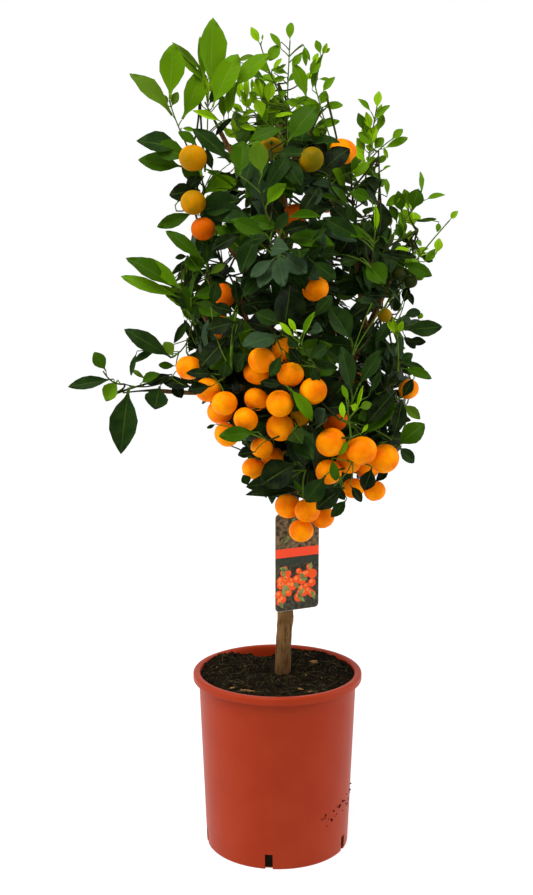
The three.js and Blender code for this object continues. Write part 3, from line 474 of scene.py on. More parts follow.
# The shoots that show most: the least share of a leaf's width that shows, the depth over which the leaves
# spread, how near its stem a leaf sits on it, where a shoot springs from its mass's stem, how far the twig
# to it bends, over what depth the tips of its leaves spread, and the margin round each leaf, across and in
# depth, that other leaves leave open.
KEY_SEED = 303
KEY_LEAST = 0.75
KEY_SPREAD = 18
KEY_SEATED = 3
KEY_SPRING = 0.8
KEY_BEND = 12
KEY_TILT = 8
KEY_MARGIN = 2.5
KEY_DEPTH = 10
# The half widths that a leaf shows along its length, for what stands behind it.
KEY_HALF_WIDTHS = np.array((0.6, 0.9, 1.0, 0.9, 0.6, 0.2))
# A leaf's forms: fold, droop, wave at its edge, twist, how far up it is widest (above 1, past the middle), and
# how pointed it is.
LeafForm = namedtuple("LeafForm", "fold droop wave twist widest pointed")
LEAF_FORMS = (
    LeafForm(0.2, 0.06, 0.0, 0.0, 1.05, 1.0),
    LeafForm(0.42, 0.14, 0.012, 0.12, 0.95, 1.1),
    LeafForm(0.12, 0.2, 0.02, -0.15, 1.2, 0.85),
    LeafForm(0.3, -0.08, 0.02, 0.08, 1.1, 1.0),
    LeafForm(0.55, 0.16, 0.01, -0.1, 1.0, 1.05),
    LeafForm(0.25, 0.26, 0.03, 0.2, 1.1, 0.95),
)
TINTS = ("fresh", "bright", "green", "deep", "dark", "dusk", "pale")
YOUNG = ("fresh", "bright")

LABEL_WIDTH = 57
LABEL_HEIGHT = 116
LABEL_CORNER = 5
LABEL_THICKNESS = 0.8
LABEL_MIDDLE = (22.6, -12, 347.4)
LABEL_TURN = 26 * DEGREE
# How far above the label its loop hangs, and the loop's height and wall.
LABEL_NECK = 7
LABEL_LOOP = (7, 1.2)
# The print: the margin round it, the band's lower and upper edge, the bare strip's height below it, and how
# many bunches of fruit it has.
LABEL_MARGIN = 0.6
LABEL_BAND = (6, 16.5)
LABEL_STRIP = 8
LABEL_BUNCHES = 12
LABEL_SEED = 96

# The stage, in metres: how far out its bowl reaches, how wide its bend is and how high it goes, the place that
# the lights face, where the floor's front glow ends and its back glow begins, and the light all round.
Bowl = namedtuple("Bowl", "reach bend height sides")
BOWL = Bowl(8.0, 2.5, 7.0, 96)
LIT_PLACE = (0, 0, 0.6)
GLOW_RANGE = (-3.0, -0.2)
SKY_STRENGTH = 0.1


def linear(red, green, blue):
    """A colour given in 0 to 255 on a screen, as light."""
    parts = (part / 255 for part in (red, green, blue))
    return (*(part / 12.92 if part <= 0.04045 else ((part + 0.055) / 1.055) ** 2.4 for part in parts), 1.0)


# ---- numbers, curves


def draws(seed):
    """A function that gives numbers from 0 to 1, the same for the same seed, as the part's own stream does."""
    state = seed
    full = 0xFFFFFFFF

    def draw():
        nonlocal state
        state = (state + 0x6D2B79F5) & full
        mixed = ((state ^ (state >> 15)) * (state | 1)) & full
        mixed ^= (mixed + (((mixed ^ (mixed >> 7)) * (mixed | 61)) & full)) & full
        return (mixed ^ (mixed >> 14)) / 4294967296

    return draw


def unit(vector):
    return vector / np.linalg.norm(vector)


def turned_about(vector, axis, angle):
    """The vector turned about a unit axis."""
    cross = np.cross(axis, vector)
    return vector * math.cos(angle) + cross * math.sin(angle) + axis * (axis @ vector) * (1 - math.cos(angle))


def apart(one, other):
    """The distance between two places."""
    return np.linalg.norm(other - one)


def on_ring(radius, index, count):
    """A place on a ring of evenly spaced places."""
    angle = index / count * TURN
    return radius * math.cos(angle), radius * math.sin(angle)


def across_from(direction, towards):
    """The unit vector square to a direction and to another."""
    return unit(np.cross(direction, towards))


class Path:
    """A quadratic curve from a start to an end, pulled towards a bend. Shares are shares of its length."""

    samples = np.linspace(0, 1, 61)

    def __init__(self, start, end, bend):
        self.start = np.asarray(start, float)
        self.end = np.asarray(end, float)
        self.bend = np.asarray(bend, float)
        steps = np.linalg.norm(np.diff(self._places(self.samples), axis=0), axis=1)
        self.reach = np.concatenate(((0.0,), np.cumsum(steps)))
        self.length = self.reach[-1]

    def _places(self, values):
        ahead = np.asarray(values)[:, None]
        return (1 - ahead) ** 2 * self.start + 2 * ahead * (1 - ahead) * self.bend + ahead**2 * self.end

    def _values(self, shares):
        return np.interp(np.asarray(shares) * self.length, self.reach, self.samples)

    def places(self, shares):
        return self._places(self._values(shares))

    def at(self, share):
        return self.places([share])[0]

    def tangent(self, share):
        value = self._values([share])[0]
        return unit((1 - value) * (self.bend - self.start) + value * (self.end - self.bend) + 1e-9)

    def first(self, share):
        """The path's first part."""
        value = self._values([share])[0]
        return Path(self.start, self.at(share), self.start + (self.bend - self.start) * value)


def bowed(start, end, way):
    """A path whose bend stands off its middle."""
    return Path(start, end, (start + end) / 2 + way)


def taper(foot, tip):
    return lambda share, angle=0.0: foot + (tip - foot) * share


def thinning(foot, tip):
    """A taper that is steepest at its foot."""
    return lambda share, angle=0.0: tip + (foot - tip) * (1 - share) ** 3


def trunk_radius(share, angle=0.0):
    """The trunk's radius: a taper, a flared root collar and one low knot."""
    collar = ROOT_FLARE * math.exp(-share / ROOT_FLARE_HEIGHT)
    rise = (share - KNOT_AT) / KNOT_HEIGHT
    knot = KNOT_RISE * max(0.0, math.cos(angle - KNOT_TURN)) * math.exp(-rise * rise)
    return taper(*TRUNK_RADII)(share) + collar + knot


# ---- growth

Limb = namedtuple("Limb", "path radius")
Twig = namedtuple("Twig", "path foot tip age")
Leaf = namedtuple("Leaf", "root along face length width tint form mass")
Fruit = namedtuple("Fruit", "place radius ripeness axis")


class Space:
    """A mass's own space: its ellipsoid, on its side of the plane between it and every other mass."""

    def __init__(self, name):
        mass = MASSES[name]
        self.middle = np.array(mass.at, float)
        self.size = np.array(mass.size, float)
        others = [other for key, other in MASSES.items() if key != name]
        across = np.array([other.at for other in others]) - self.middle
        distance = np.linalg.norm(across, axis=1)
        weights = np.array([other.size[0] * other.size[2] for other in others])
        self.outs = across / distance[:, None]
        self.reaches = (distance + (mass.size[0] * mass.size[2] - weights) / distance) / 2 - GAP
        self.facing = unit((self.middle - CROWN_MIDDLE) * CROWN_FACING)

    def depth(self, place):
        return float(np.min(self.reaches - self.outs @ (place - self.middle)))

    def share(self, place):
        return float(np.linalg.norm((place - self.middle) / self.size))

    def entrance(self, start, depth=5, share=0.72, steps=40):
        """The first place on the way from a limb to the middle that lies well inside."""
        for step in range(steps):
            place = start + (self.middle - start) * step / steps
            if self.depth(place) > depth and self.share(place) < share:
                return place
        return self.middle.copy()


def grow_limbs(spaces):
    """The trunk and each mass's bough, by name."""
    limbs = {"trunk": Limb(Path(TRUNK_FOOT, TRUNK_FORK, TRUNK_BEND), trunk_radius)}
    for name, mass in MASSES.items():
        bearer = limbs[mass.on].path
        spring = bearer.at(mass.share)
        tip = spaces[name].entrance(spring)
        follow = bearer.tangent(mass.share) * LIMB_FOLLOW * apart(spring, tip)
        limbs[name] = Limb(bowed(spring, tip, follow), taper(*mass.bough))
    return limbs


def fruit_places():
    """Each fruit's place and bunch. Where two would touch, they are pushed apart."""
    places = [np.array(place, float) for bunch in BUNCHES for place in bunch.places]
    bunches = [number for number, bunch in enumerate(BUNCHES) for _ in bunch.places]
    radii = [BUNCHES[number].radius for number in bunches]
    for _ in range(FRUIT_ROUNDS):
        for one in range(len(places)):
            for other in range(one + 1, len(places)):
                across = places[other] - places[one]
                distance = np.linalg.norm(across)
                short = (radii[one] + radii[other]) * FRUIT_APART - distance
                if short > 0:
                    places[one] = places[one] - across / distance * short / 2
                    places[other] = places[other] + across / distance * short / 2
    return places, bunches


def seen(across, down, depth):
    """The place that the main view shows at a point of the picture, at a depth."""
    sine, cosine = math.sin(VIEW_PITCH), math.cos(VIEW_PITCH)
    right = (across - VIEW_SIZE[0] / 2) / VIEW_FOCUS
    low = (down - VIEW_SIZE[1] / 2) / VIEW_FOCUS
    way = np.array((right, cosine - low * sine, -sine - low * cosine))
    return VIEW_PLACE + way * (depth - VIEW_PLACE[1]) / way[1]


def in_view(places):
    """Where the main view shows places: across and down, in the picture's pixels."""
    sine, cosine = math.sin(VIEW_PITCH), math.cos(VIEW_PITCH)
    from_eye = places - VIEW_PLACE
    ahead = from_eye[:, 1] * cosine - from_eye[:, 2] * sine
    rise = from_eye[:, 1] * sine + from_eye[:, 2] * cosine
    across = VIEW_SIZE[0] / 2 + VIEW_FOCUS * from_eye[:, 0] / ahead
    return np.column_stack((across, VIEW_SIZE[1] / 2 - VIEW_FOCUS * rise / ahead))


def inside_profile(spots):
    """Whether all spots of the main view lie inside the crown's profile."""
    start = np.array(PROFILE, float)
    end = np.roll(start, -1, axis=0)
    x, y = spots[:, :1], spots[:, 1:]
    straddles = (start[:, 1] > y) != (end[:, 1] > y)
    rise = np.where(end[:, 1] == start[:, 1], 1.0, end[:, 1] - start[:, 1])
    crossing = start[:, 0] + (y - start[:, 1]) / rise * (end[:, 0] - start[:, 0])
    return bool(((straddles & (x < crossing)).sum(axis=1) % 2 == 1).all())


def twig_directions(axis, count, start, behind):
    """Directions spread evenly round an axis, with none right behind it."""
    aside = across_from(axis, UP)
    across = np.cross(axis, aside)
    for index in range(count):
        lean = 1 - behind * (index + 0.5) / count
        turn = start + index * GOLDEN_TURN
        flat = math.sqrt(1 - lean * lean)
        yield axis * lean + aside * flat * math.cos(turn) + across * flat * math.sin(turn)


NEAR_CELLS = tuple((x, y, z) for x in (-1, 0, 1) for y in (-1, 0, 1) for z in (-1, 0, 1))


class Crown:
    """The growing crown: its twigs, leaves and fruit, and the places that a new leaf keeps clear of."""

    def __init__(self):
        self.spaces = {name: Space(name) for name in MASSES}
        self.limbs = grow_limbs(self.spaces)
        self.stems = {name: self.stem(name) for name in MASSES}
        self.twigs = []
        self.leaves = []
        self.fruits = []
        self.taken = {}
        self.hang_fruit()
        self.shown = self.shown_fruit()
        places = np.array([fruit.place for fruit in self.fruits])
        self.fruit_at = places
        self.fruit_radii = np.array([fruit.radius for fruit in self.fruits])
        out = (places - CROWN_MIDDLE) * (1, 1, 0)
        self.fruit_out = out / np.linalg.norm(out, axis=1)[:, None]
        self.trunk_at = self.limbs["trunk"].path.places(np.linspace(0, 1, 40))

    def stem(self, name):
        """The stem inside a mass, which goes on from its bough."""
        mass, space, bough = MASSES[name], self.spaces[name], self.limbs[name].path
        end = space.middle + np.array(mass.aim) * space.size
        reach = apart(bough.end, end)
        bend = bough.end + bough.tangent(1) * reach * STEM_BEND + (end - bough.end) * STEM_BEND
        return Path(bough.end, end, bend)

    def hang_fruit(self):
        """Each bunch has a twig of its own, which ends in one fruit and bears the others on stalks."""
        places, bunches = fruit_places()
        draw = draws(FRUIT_SEED)
        for index, bunch in enumerate(BUNCHES):
            members = [number for number, own in enumerate(bunches) if own == index]
            crowns = []
            bearer = max(self.spaces, key=lambda name: self.spaces[name].depth(places[members[0]]))
            spring = self.stems[bearer].at(FRUIT_SPRING)
            for number in members:
                inward = unit(spring - places[number] + UP)
                axis = unit(UP * (0.5 + draw()) + inward * (0.3 + 1.1 * draw()))
                self.fruits.append(Fruit(places[number], bunch.radius, bunch.ripeness, axis))
                crowns.append(places[number] + axis * bunch.radius * 0.9)
            twig = bowed(spring, crowns[0], UP * (apart(spring, crowns[0]) * TWIG_ARCH))
            self.twigs.append(Twig(twig, *RADII["bunch"], "woody"))
            for step, crown in enumerate(crowns[1:]):
                start = twig.at(1 - STALK_STEP * (step + 1))
                stalk = bowed(start, crown, UP * apart(start, crown) * STALK_ARCH)
                self.twigs.append(Twig(stalk, *RADII["stalk"], "green"))

    def shown_fruit(self):
        """The fruits that no leaf hides in the main view: where each shows, its depth and its radius there."""
        least, share = FRUIT_SHOWN
        places, bunches = fruit_places()
        rows = []
        for place, bunch in zip(places, bunches):
            if place[1] < least and bunch not in VEILED:
                across, down = in_view(place[None])[0]
                radius = BUNCHES[bunch].radius * (VIEW_FOCUS / (place[1] - VIEW_PLACE[1])) * share
                rows.append((across, down, place[1] - KEY_DEPTH, radius - KEY_MARGIN))
        return np.array(rows)

    def clear_of_fruit(self, samples):
        """Whether a leaf keeps off every fruit, and doesn't hang right outside one."""
        across = samples[:, None, :] - self.fruit_at
        distance = np.linalg.norm(across, axis=2)
        if (distance < self.fruit_radii + FRUIT_CLEAR).any():
            return False
        bare, width = FRUIT_BARE
        ahead = (across * self.fruit_out).sum(axis=2)
        aside = np.sqrt(np.maximum(distance**2 - ahead**2, 0))
        return not ((ahead > 0) & (ahead < bare) & (aside < width * self.fruit_radii)).any()

    def room(self, samples):
        """How far a leaf's sample points stay from those of the leaves there are, up to an ample distance."""
        ample = LEAF_ROOM[1]
        best = ample * ample
        for x, y, z in samples.tolist():
            column, row, layer = (int(part // ample) for part in (x, y, z))
            for cell in NEAR_CELLS:
                for other in self.taken.get((column + cell[0], row + cell[1], layer + cell[2]), ()):
                    square = (x - other[0]) ** 2 + (y - other[1]) ** 2 + (z - other[2]) ** 2
                    best = min(best, square)
        return math.sqrt(best)

    def clear_of_trunk(self, samples):
        """Whether a leaf keeps off the trunk and the label."""
        across = samples[:, None, :] - self.trunk_at
        if (np.linalg.norm(across, axis=2) < TRUNK_RADII[0] + TRUNK_CLEAR).any():
            return False
        aside, deep, above = LABEL_CLEAR
        half = (LABEL_WIDTH / 2 + aside, deep, LABEL_HEIGHT / 2 + above)
        label = np.abs(samples - np.array(LABEL_MIDDLE)) < half
        return not label.all(axis=1).any()

    def hides_shown(self, samples):
        """Whether a leaf would hide what shows most, close a gap where sky shows, or leave the profile."""
        spots = in_view(samples)
        if not inside_profile(spots):
            return True
        gaps = np.linalg.norm(spots[:, None, :] - SKY_MIDDLES, axis=2)
        if (gaps < SKY_RADII).any():
            return True
        distance = np.linalg.norm(spots[:, None, :] - self.shown[:, :2], axis=2)
        before = samples[:, 1:2] < self.shown[:, 2] + KEY_DEPTH
        return bool(((distance < self.shown[:, 3] + KEY_MARGIN) & before).any())

    def add_leaf(self, leaf, samples):
        self.leaves.append(leaf)
        for sample in samples.tolist():
            cell = tuple(int(part // LEAF_ROOM[1]) for part in sample)
            self.taken.setdefault(cell, []).append(sample)


def leaf_samples(root, along, face, length, width):
    """Points on a leaf: along its rib and at its two edges."""
    half = across_from(along, face) * length * width * EDGE_SHARE
    rib = [root + along * length * share for share in RIB_TESTS]
    edges = [root + along * length * share + side * half for share in EDGE_TESTS for side in (1, -1)]
    return np.array(rib + edges)


def broadside(along, face):
    """How much of a leaf's width shows from the front."""
    aside = across_from(along, face)
    return abs(aside[0] * along[2] - aside[2] * along[0]) / math.hypot(along[0], along[2])


def grow_shoot(crown, shoot, draw):
    """A shoot whose leaves all have their places in the main view."""
    first, bend, end = (seen(*spot, shoot.depth) for spot in shoot.stem)
    path = Path(first, end, bend)
    spring = crown.stems[shoot.mass].at(KEY_SPRING)
    crown.twigs.append(Twig(bowed(spring, first, path.tangent(0) * -KEY_BEND), *RADII["bunch"], "woody"))
    crown.twigs.append(Twig(path, *RADII["key"], "green" if shoot.tint in YOUNG else "woody"))
    spots = path.places(np.linspace(0, 1, 31))
    shown = []
    for index, (across, down, tip_across, tip_down, width, *own) in enumerate(shoot.leaves):
        depth = shoot.depth + KEY_SPREAD * ((index + 0.5) / len(shoot.leaves) - 0.5)
        root = seen(across, down, depth)
        tip = seen(tip_across, tip_down, depth + KEY_TILT * (draw() - 0.5))
        distances = np.linalg.norm(spots - root, axis=1)
        nearest = int(np.argmin(distances))
        away = distances[nearest]
        if away < KEY_SEATED:
            root = spots[nearest]
        else:
            lower = max(0, nearest - round(0.8 * away / path.length * (len(spots) - 1)))
            twig = bowed(spots[lower], root, path.tangent(lower / (len(spots) - 1)) * away * 0.15)
            crown.twigs.append(Twig(twig, *RADII["leaf"], "green"))
        face = unit(np.array((1.3 * (draw() - 0.5), -1.0, 0.1 + 0.7 * draw())))
        form = int(draw() * len(LEAF_FORMS))
        normal = np.cross(across_from(tip - root, face), unit(tip - root))
        droop = normal * (LEAF_FORMS[form].droop * apart(root, tip))
        tip = tip + droop
        length = apart(root, tip)
        along = (tip - root) / length
        size = (shoot.depth - VIEW_PLACE[1]) / VIEW_FOCUS / max(KEY_LEAST, broadside(along, face))
        tint = own[0] if own else shoot.tint
        leaf = Leaf(root, along, face, length, width * size / length, tint, form, shoot.mass)
        crown.add_leaf(leaf, leaf_samples(root, along, face, length, leaf.width))
        line = np.linspace(root + (tip - root) * 0.15, tip - droop, len(KEY_HALF_WIDTHS))
        shown.append(np.column_stack((in_view(line), line[:, 1], width / 2 * KEY_HALF_WIDTHS)))
    crown.shown = np.concatenate([crown.shown, *shown])


def grow_leaves(crown, name, path, habit, tint, draw, scale=1.0):
    """One twig's leaves: each stands two fifths of a turn on from the last, and the last ends the twig.

    A leaf takes the roomiest of a few turns, and is left out where there is no room. Gives the share of the
    last one's root."""
    space = crown.spaces[name]
    outward = unit(path.end - space.middle + 1e-6)
    look = SHOOT_LOOK if habit.hang < 0 else space.facing * LOOK_SHARE + LIGHT
    start = draw() * TURN
    least, ample = LEAF_ROOM
    reached = 0
    for index in range(habit.leaves):
        share = TWIG["bare"] + (1 - TWIG["bare"]) * index / (habit.leaves - 1)
        last = index == habit.leaves - 1
        part = habit.part / 3 if last else habit.part * (0.85 + 0.3 * draw())
        root, tangent = path.at(share), path.tangent(share)
        jitter = np.array((draw() - 0.5, draw() - 0.5, draw() - 0.5))
        face = unit(look + jitter * 1.1)
        length = habit.leaf * scale * (0.78 + 0.4 * draw())
        width = 0.4 + 0.14 * draw()
        form = int(draw() * len(LEAF_FORMS))
        best = None
        for twist in LEAF_TWISTS:
            aside = turned_about(across_from(tangent, look), tangent, start + index * LEAF_TURN + twist)
            along = tangent * math.cos(part) + aside * math.sin(part) + outward * LEAF_OUTWARD - UP * habit.hang
            along = unit(along)
            samples = leaf_samples(root, along, face, length, width)
            if space.share(samples[-1]) > LEAF_INSIDE[0] or space.depth(samples[-1]) < LEAF_INSIDE[1]:
                continue
            if not crown.clear_of_fruit(samples) or not crown.clear_of_trunk(samples):
                continue
            if crown.hides_shown(samples):
                continue
            room = crown.room(samples)
            score = min(room, ample) - TWIST_COST * abs(twist)
            if room > least and (best is None or score > best[0]):
                best = (score, along, samples)
            if room > ample:
                break
        if best:
            crown.add_leaf(Leaf(root, best[1], face, length, width, tint, form, name), best[2])
            reached = share
    return reached


def pick(weights, share):
    """The name that a share from 0 to 1 falls on."""
    total = sum(weights.values())
    for name, weight in weights.items():
        share -= weight / total
        if share <= 0:
            return name
    return name


def grow_mass(crown, name):
    """Shoots off a mass's stem, side twigs off the shoots, and leaves on them all."""
    habit = HABITS[MASSES[name].habit]
    space, stem = crown.spaces[name], crown.stems[name]
    draw = draws(list(MASSES).index(name) + 1)
    axis = unit(stem.end - stem.start)
    last = 0
    for direction in twig_directions(space.facing, habit.shoots, draw() * TURN, habit.behind):
        tip = space.middle + direction * space.size * TWIG["reach"] * (0.8 + 0.4 * draw())
        while space.depth(tip) < TWIG["clear"] and apart(stem.end, tip) > 6:
            tip = tip + (stem.end - tip) * 0.1
        lean = (direction @ axis + 1) / 2
        along = TWIG["spring_from"] + (1 - TWIG["spring_from"]) * lean
        spring = stem.at(along)
        reach = apart(spring, tip)
        shoot = bowed(spring, tip, UP * -habit.rise * reach)
        tint = pick(habit.tints, draw())
        reached = grow_leaves(crown, name, shoot, habit, tint, draw)
        for side in range(habit.sides):
            share = TWIG["side_from"] + (TWIG["side_to"] - TWIG["side_from"]) * (side + draw()) / habit.sides
            start, tangent = shoot.at(share), shoot.tangent(share)
            aside = turned_about(across_from(tangent, UP), tangent, draw() * TURN)
            way = unit(tangent * 0.75 + aside * 0.66 - UP * 0.3 * habit.hang)
            end = start + way * reach * (0.45 + 0.25 * draw())
            while space.share(end) > 0.86 and apart(start, end) > 8:
                end = end + (start - end) * 0.12
            twig = bowed(start, end, UP * -habit.rise * apart(start, end) * 0.8)
            borne = grow_leaves(crown, name, twig, habit, tint, draw, 0.9)
            if borne:
                crown.twigs.append(Twig(twig.first(borne), *RADII["side"], "green"))
                reached = max(reached, share)
        if reached:
            crown.twigs.append(Twig(shoot.first(reached), *RADII["shoot"], "woody"))
            last = max(last, along)
    foot = MASSES[name].bough[1] * 0.95
    crown.twigs.append(Twig(stem.first(max(last, FRUIT_SPRING)), foot, STEM_TIP, "woody"))


@functools.lru_cache(maxsize=1)
def grown_crown():
    """The whole crown, worked out once."""
    crown = Crown()
    draw = draws(KEY_SEED)
    for shoot in SHOOTS:
        grow_shoot(crown, shoot, draw)
    for name in MASSES:
        grow_mass(crown, name)
    return crown


# ---- node helpers


def add(tree, kind, inputs=None, **settings):
    """A node with its settings, and its inputs by name or number: plain values, or sockets to link from."""
    made = tree.nodes.new(kind)
    for name, value in settings.items():
        setattr(made, name, value)
    for name, value in (inputs or {}).items():
        if isinstance(value, bpy.types.NodeSocket):
            tree.links.new(value, made.inputs[name])
        else:
            made.inputs[name].default_value = value
    return made


def calc(tree, operation, first, second=0.0):
    return add(tree, "ShaderNodeMath", {0: first, 1: second}, operation=operation).outputs[0]


def mixed(tree, factor, first, second):
    """Two colours mixed by a factor."""
    return add(tree, "ShaderNodeMix", {0: factor, 6: first, 7: second}, data_type="RGBA").outputs[2]


def ranged(tree, value, low, high, first=0.0, last=1.0):
    """A value between two bounds, brought to between two others."""
    bounds = {"Value": value, "From Min": low, "From Max": high, "To Min": first, "To Max": last}
    return add(tree, "ShaderNodeMapRange", bounds).outputs["Result"]


def group_tree(name, inputs, outputs, kind="ShaderNodeTree"):
    """A node group with its sockets, given as name, kind and any default, and the sockets inside it."""
    tree = bpy.data.node_groups.new(name, kind)
    for label, socket, *default in inputs:
        made = tree.interface.new_socket(label, in_out="INPUT", socket_type=f"NodeSocket{socket}")
        if default:
            made.default_value = default[0]
    for label, socket in outputs:
        tree.interface.new_socket(label, in_out="OUTPUT", socket_type=f"NodeSocket{socket}")
    return tree, tree.nodes.new("NodeGroupInput").outputs, tree.nodes.new("NodeGroupOutput").inputs


@functools.lru_cache(maxsize=None)
def mottle_group():
    """Two colours in soft patches, broken up by a finer grain."""
    inputs = (
        ("Vector", "Vector"),
        ("Colour", "Color"),
        ("Second colour", "Color"),
        ("Patches", "Float", 40.0),
        ("Amount", "Float", 0.5),
    )
    tree, given, out = group_tree("mottle", inputs, (("Colour", "Color"),))
    noise_inputs = {"Vector": given["Vector"], "Scale": given["Patches"], "Detail": 4.0}
    patch = add(tree, "ShaderNodeTexNoise", noise_inputs).outputs["Fac"]
    mask = calc(tree, "MULTIPLY", ranged(tree, patch, 0.35, 0.65), given["Amount"])
    tree.links.new(mixed(tree, mask, given["Colour"], given["Second colour"]), out["Colour"])
    return tree


@functools.lru_cache(maxsize=None)
def grain_group():
    """The height of a grain: coarse lumps with finer ones on them, which may be drawn out along the piece."""
    inputs = (("Vector", "Vector"), ("Stretch", "Vector", (1.0, 1.0, 1.0)), ("Scale", "Float", 200.0))
    tree, given, out = group_tree("grain", inputs, (("Height", "Float"),))
    drawn = add(tree, "ShaderNodeVectorMath", {0: given["Vector"], 1: given["Stretch"]}, operation="MULTIPLY")
    grain = add(tree, "ShaderNodeTexNoise", {
        "Vector": drawn.outputs["Vector"], "Scale": given["Scale"], "Detail": 5.0, "Roughness": 0.6,
    })
    tree.links.new(grain.outputs["Fac"], out["Height"])
    return tree


@functools.lru_cache(maxsize=None)
def veins_group():
    """A leaf's side veins, from its own UV map: a mask and a height."""
    inputs = (("UV", "Vector"), ("Pairs", "Float", 8.0), ("Slant", "Float", 3.2))
    tree, given, out = group_tree("veins", inputs, (("Mask", "Float"), ("Height", "Float")))
    place = add(tree, "ShaderNodeSeparateXYZ", {"Vector": given["UV"]}).outputs
    across = calc(tree, "ABSOLUTE", calc(tree, "SUBTRACT", place["X"], 0.5))
    slant = calc(tree, "MULTIPLY", across, given["Slant"])
    rise = calc(tree, "MULTIPLY", place["Y"], given["Pairs"])
    wave = calc(tree, "FRACT", calc(tree, "SUBTRACT", rise, slant))
    ridge = calc(tree, "ABSOLUTE", calc(tree, "SUBTRACT", wave, 0.5))
    tree.links.new(ranged(tree, ridge, 0.42, 0.5), out["Mask"])
    tree.links.new(calc(tree, "SUBTRACT", 1.0, ridge), out["Height"])
    return tree


def used(tree, group, inputs):
    """The outputs of a shader group placed in a tree."""
    return add(tree, "ShaderNodeGroup", inputs, node_tree=group).outputs


def mottled(tree, place, colour, second, patches, amount):
    """The colour of a mottle at a place."""
    return used(tree, mottle_group(), {
        "Vector": place, "Colour": colour, "Second colour": second, "Patches": patches, "Amount": amount,
    })["Colour"]


def grained(tree, place, scale, stretch=(1.0, 1.0, 1.0)):
    """The height of a grain at a place."""
    return used(tree, grain_group(), {"Vector": place, "Stretch": stretch, "Scale": scale})["Height"]


def finish(name, roughness, gloss=0.04):
    """A material with its Principled shader, and the piece's own coordinates."""
    material = bpy.data.materials.new(name)
    material.use_nodes = True
    tree = material.node_tree
    shader = tree.nodes["Principled BSDF"]
    shader.inputs["Roughness"].default_value = roughness
    shader.inputs["Specular IOR Level"].default_value = gloss
    place = tree.nodes.new("ShaderNodeTexCoord").outputs["Object"]
    return material, tree, shader, place


def bumped(tree, shader, height, strength, distance):
    """The shader's normal follows a height, whose full range is a distance in metres."""
    bump = add(tree, "ShaderNodeBump", {"Height": height, "Strength": strength, "Distance": distance})
    tree.links.new(bump.outputs["Normal"], shader.inputs["Normal"])


def coloured(tree, shader, colour):
    """The shader's base colour follows a colour."""
    tree.links.new(colour, shader.inputs["Base Color"])


# ---- materials


def plain_pair(colour, second, share):
    """A colour part of the way to a second."""
    return tuple(one + (other - one) * share for one, other in zip(colour, second))


def leaf_finish(name, colour, paler, roughness):
    """A leaf's blade: one base colour with a little mottling, and shallow side veins."""
    material, tree, shader, place = finish(name, roughness, LEAF_GLOSS)
    veins = used(tree, veins_group(), {"UV": add(tree, "ShaderNodeUVMap", uv_map="UVMap").outputs["UV"]})
    blade = mottled(tree, place, colour, plain_pair(colour, paler, 0.3), 90.0, 0.6)
    coloured(tree, shader, mixed(tree, calc(tree, "MULTIPLY", veins["Mask"], 0.08), blade, paler))
    bumped(tree, shader, veins["Height"], 0.2, 0.001)
    return material


def soft_finish(name, colour, second, roughness, patches=60.0, amount=0.5, grain=400.0, depth=0.0002):
    """A surface of two mottled colours with a fine grain."""
    material, tree, shader, place = finish(name, roughness)
    coloured(tree, shader, mottled(tree, place, colour, second, patches, amount))
    bumped(tree, shader, grained(tree, place, grain), 0.6, depth)
    return material


def fruit_finish(name, skin, blush, pore_depth):
    """Citrus peel: mottled skin with oil pores."""
    material, tree, shader, place = finish(name, 0.46, 0.03)
    coloured(tree, shader, mottled(tree, place, skin, blush, 55.0, 0.8))
    pores = add(tree, "ShaderNodeTexVoronoi", {"Vector": place, "Scale": 700.0}, feature="SMOOTH_F1")
    bumped(tree, shader, pores.outputs["Distance"], 0.5, pore_depth)
    return material


def bark_finish(look):
    """Grey-brown bark, streaked along the stem and darker at its foot."""
    material, tree, shader, place = finish("bark", 0.85)
    streaks = grained(tree, place, 420.0, (1.0, 1.0, 0.12))
    patches = mottled(tree, place, look.colour, look.pale, 70.0, 0.8)
    streaked = mixed(tree, ranged(tree, streaks, 0.36, 0.5, 1.0, 0.0), patches, look.fissure)
    height = add(tree, "ShaderNodeSeparateXYZ", {"Vector": place}).outputs["Z"]
    # The bark turns darker towards its foot, over the lowest few centimetres above the compost.
    darker_foot = ranged(tree, height, 0.2, 0.255, 0.75, 0.0)
    coloured(tree, shader, mixed(tree, darker_foot, streaked, plain_pair(look.fissure, (0, 0, 0, 1), 0.4)))
    bumped(tree, shader, streaks, 0.6, 0.0008)
    return material


# ---- geometry trees


def geometry_tree(name, *inputs):
    """A geometry group that takes and gives a geometry."""
    geometry = ("Geometry", "Geometry")
    return group_tree(name, (geometry, *inputs), (geometry,), "GeometryNodeTree")


def scaled(tree, vector, scale):
    return add(tree, "ShaderNodeVectorMath", {0: vector, "Scale": scale}, operation="SCALE").outputs[0]


def smooth_and_finish(tree, geometry, material):
    smooth = add(tree, "GeometryNodeSetShadeSmooth", {"Geometry": geometry}).outputs[0]
    return add(tree, "GeometryNodeSetMaterial", {"Geometry": smooth, "Material": material}).outputs[0]


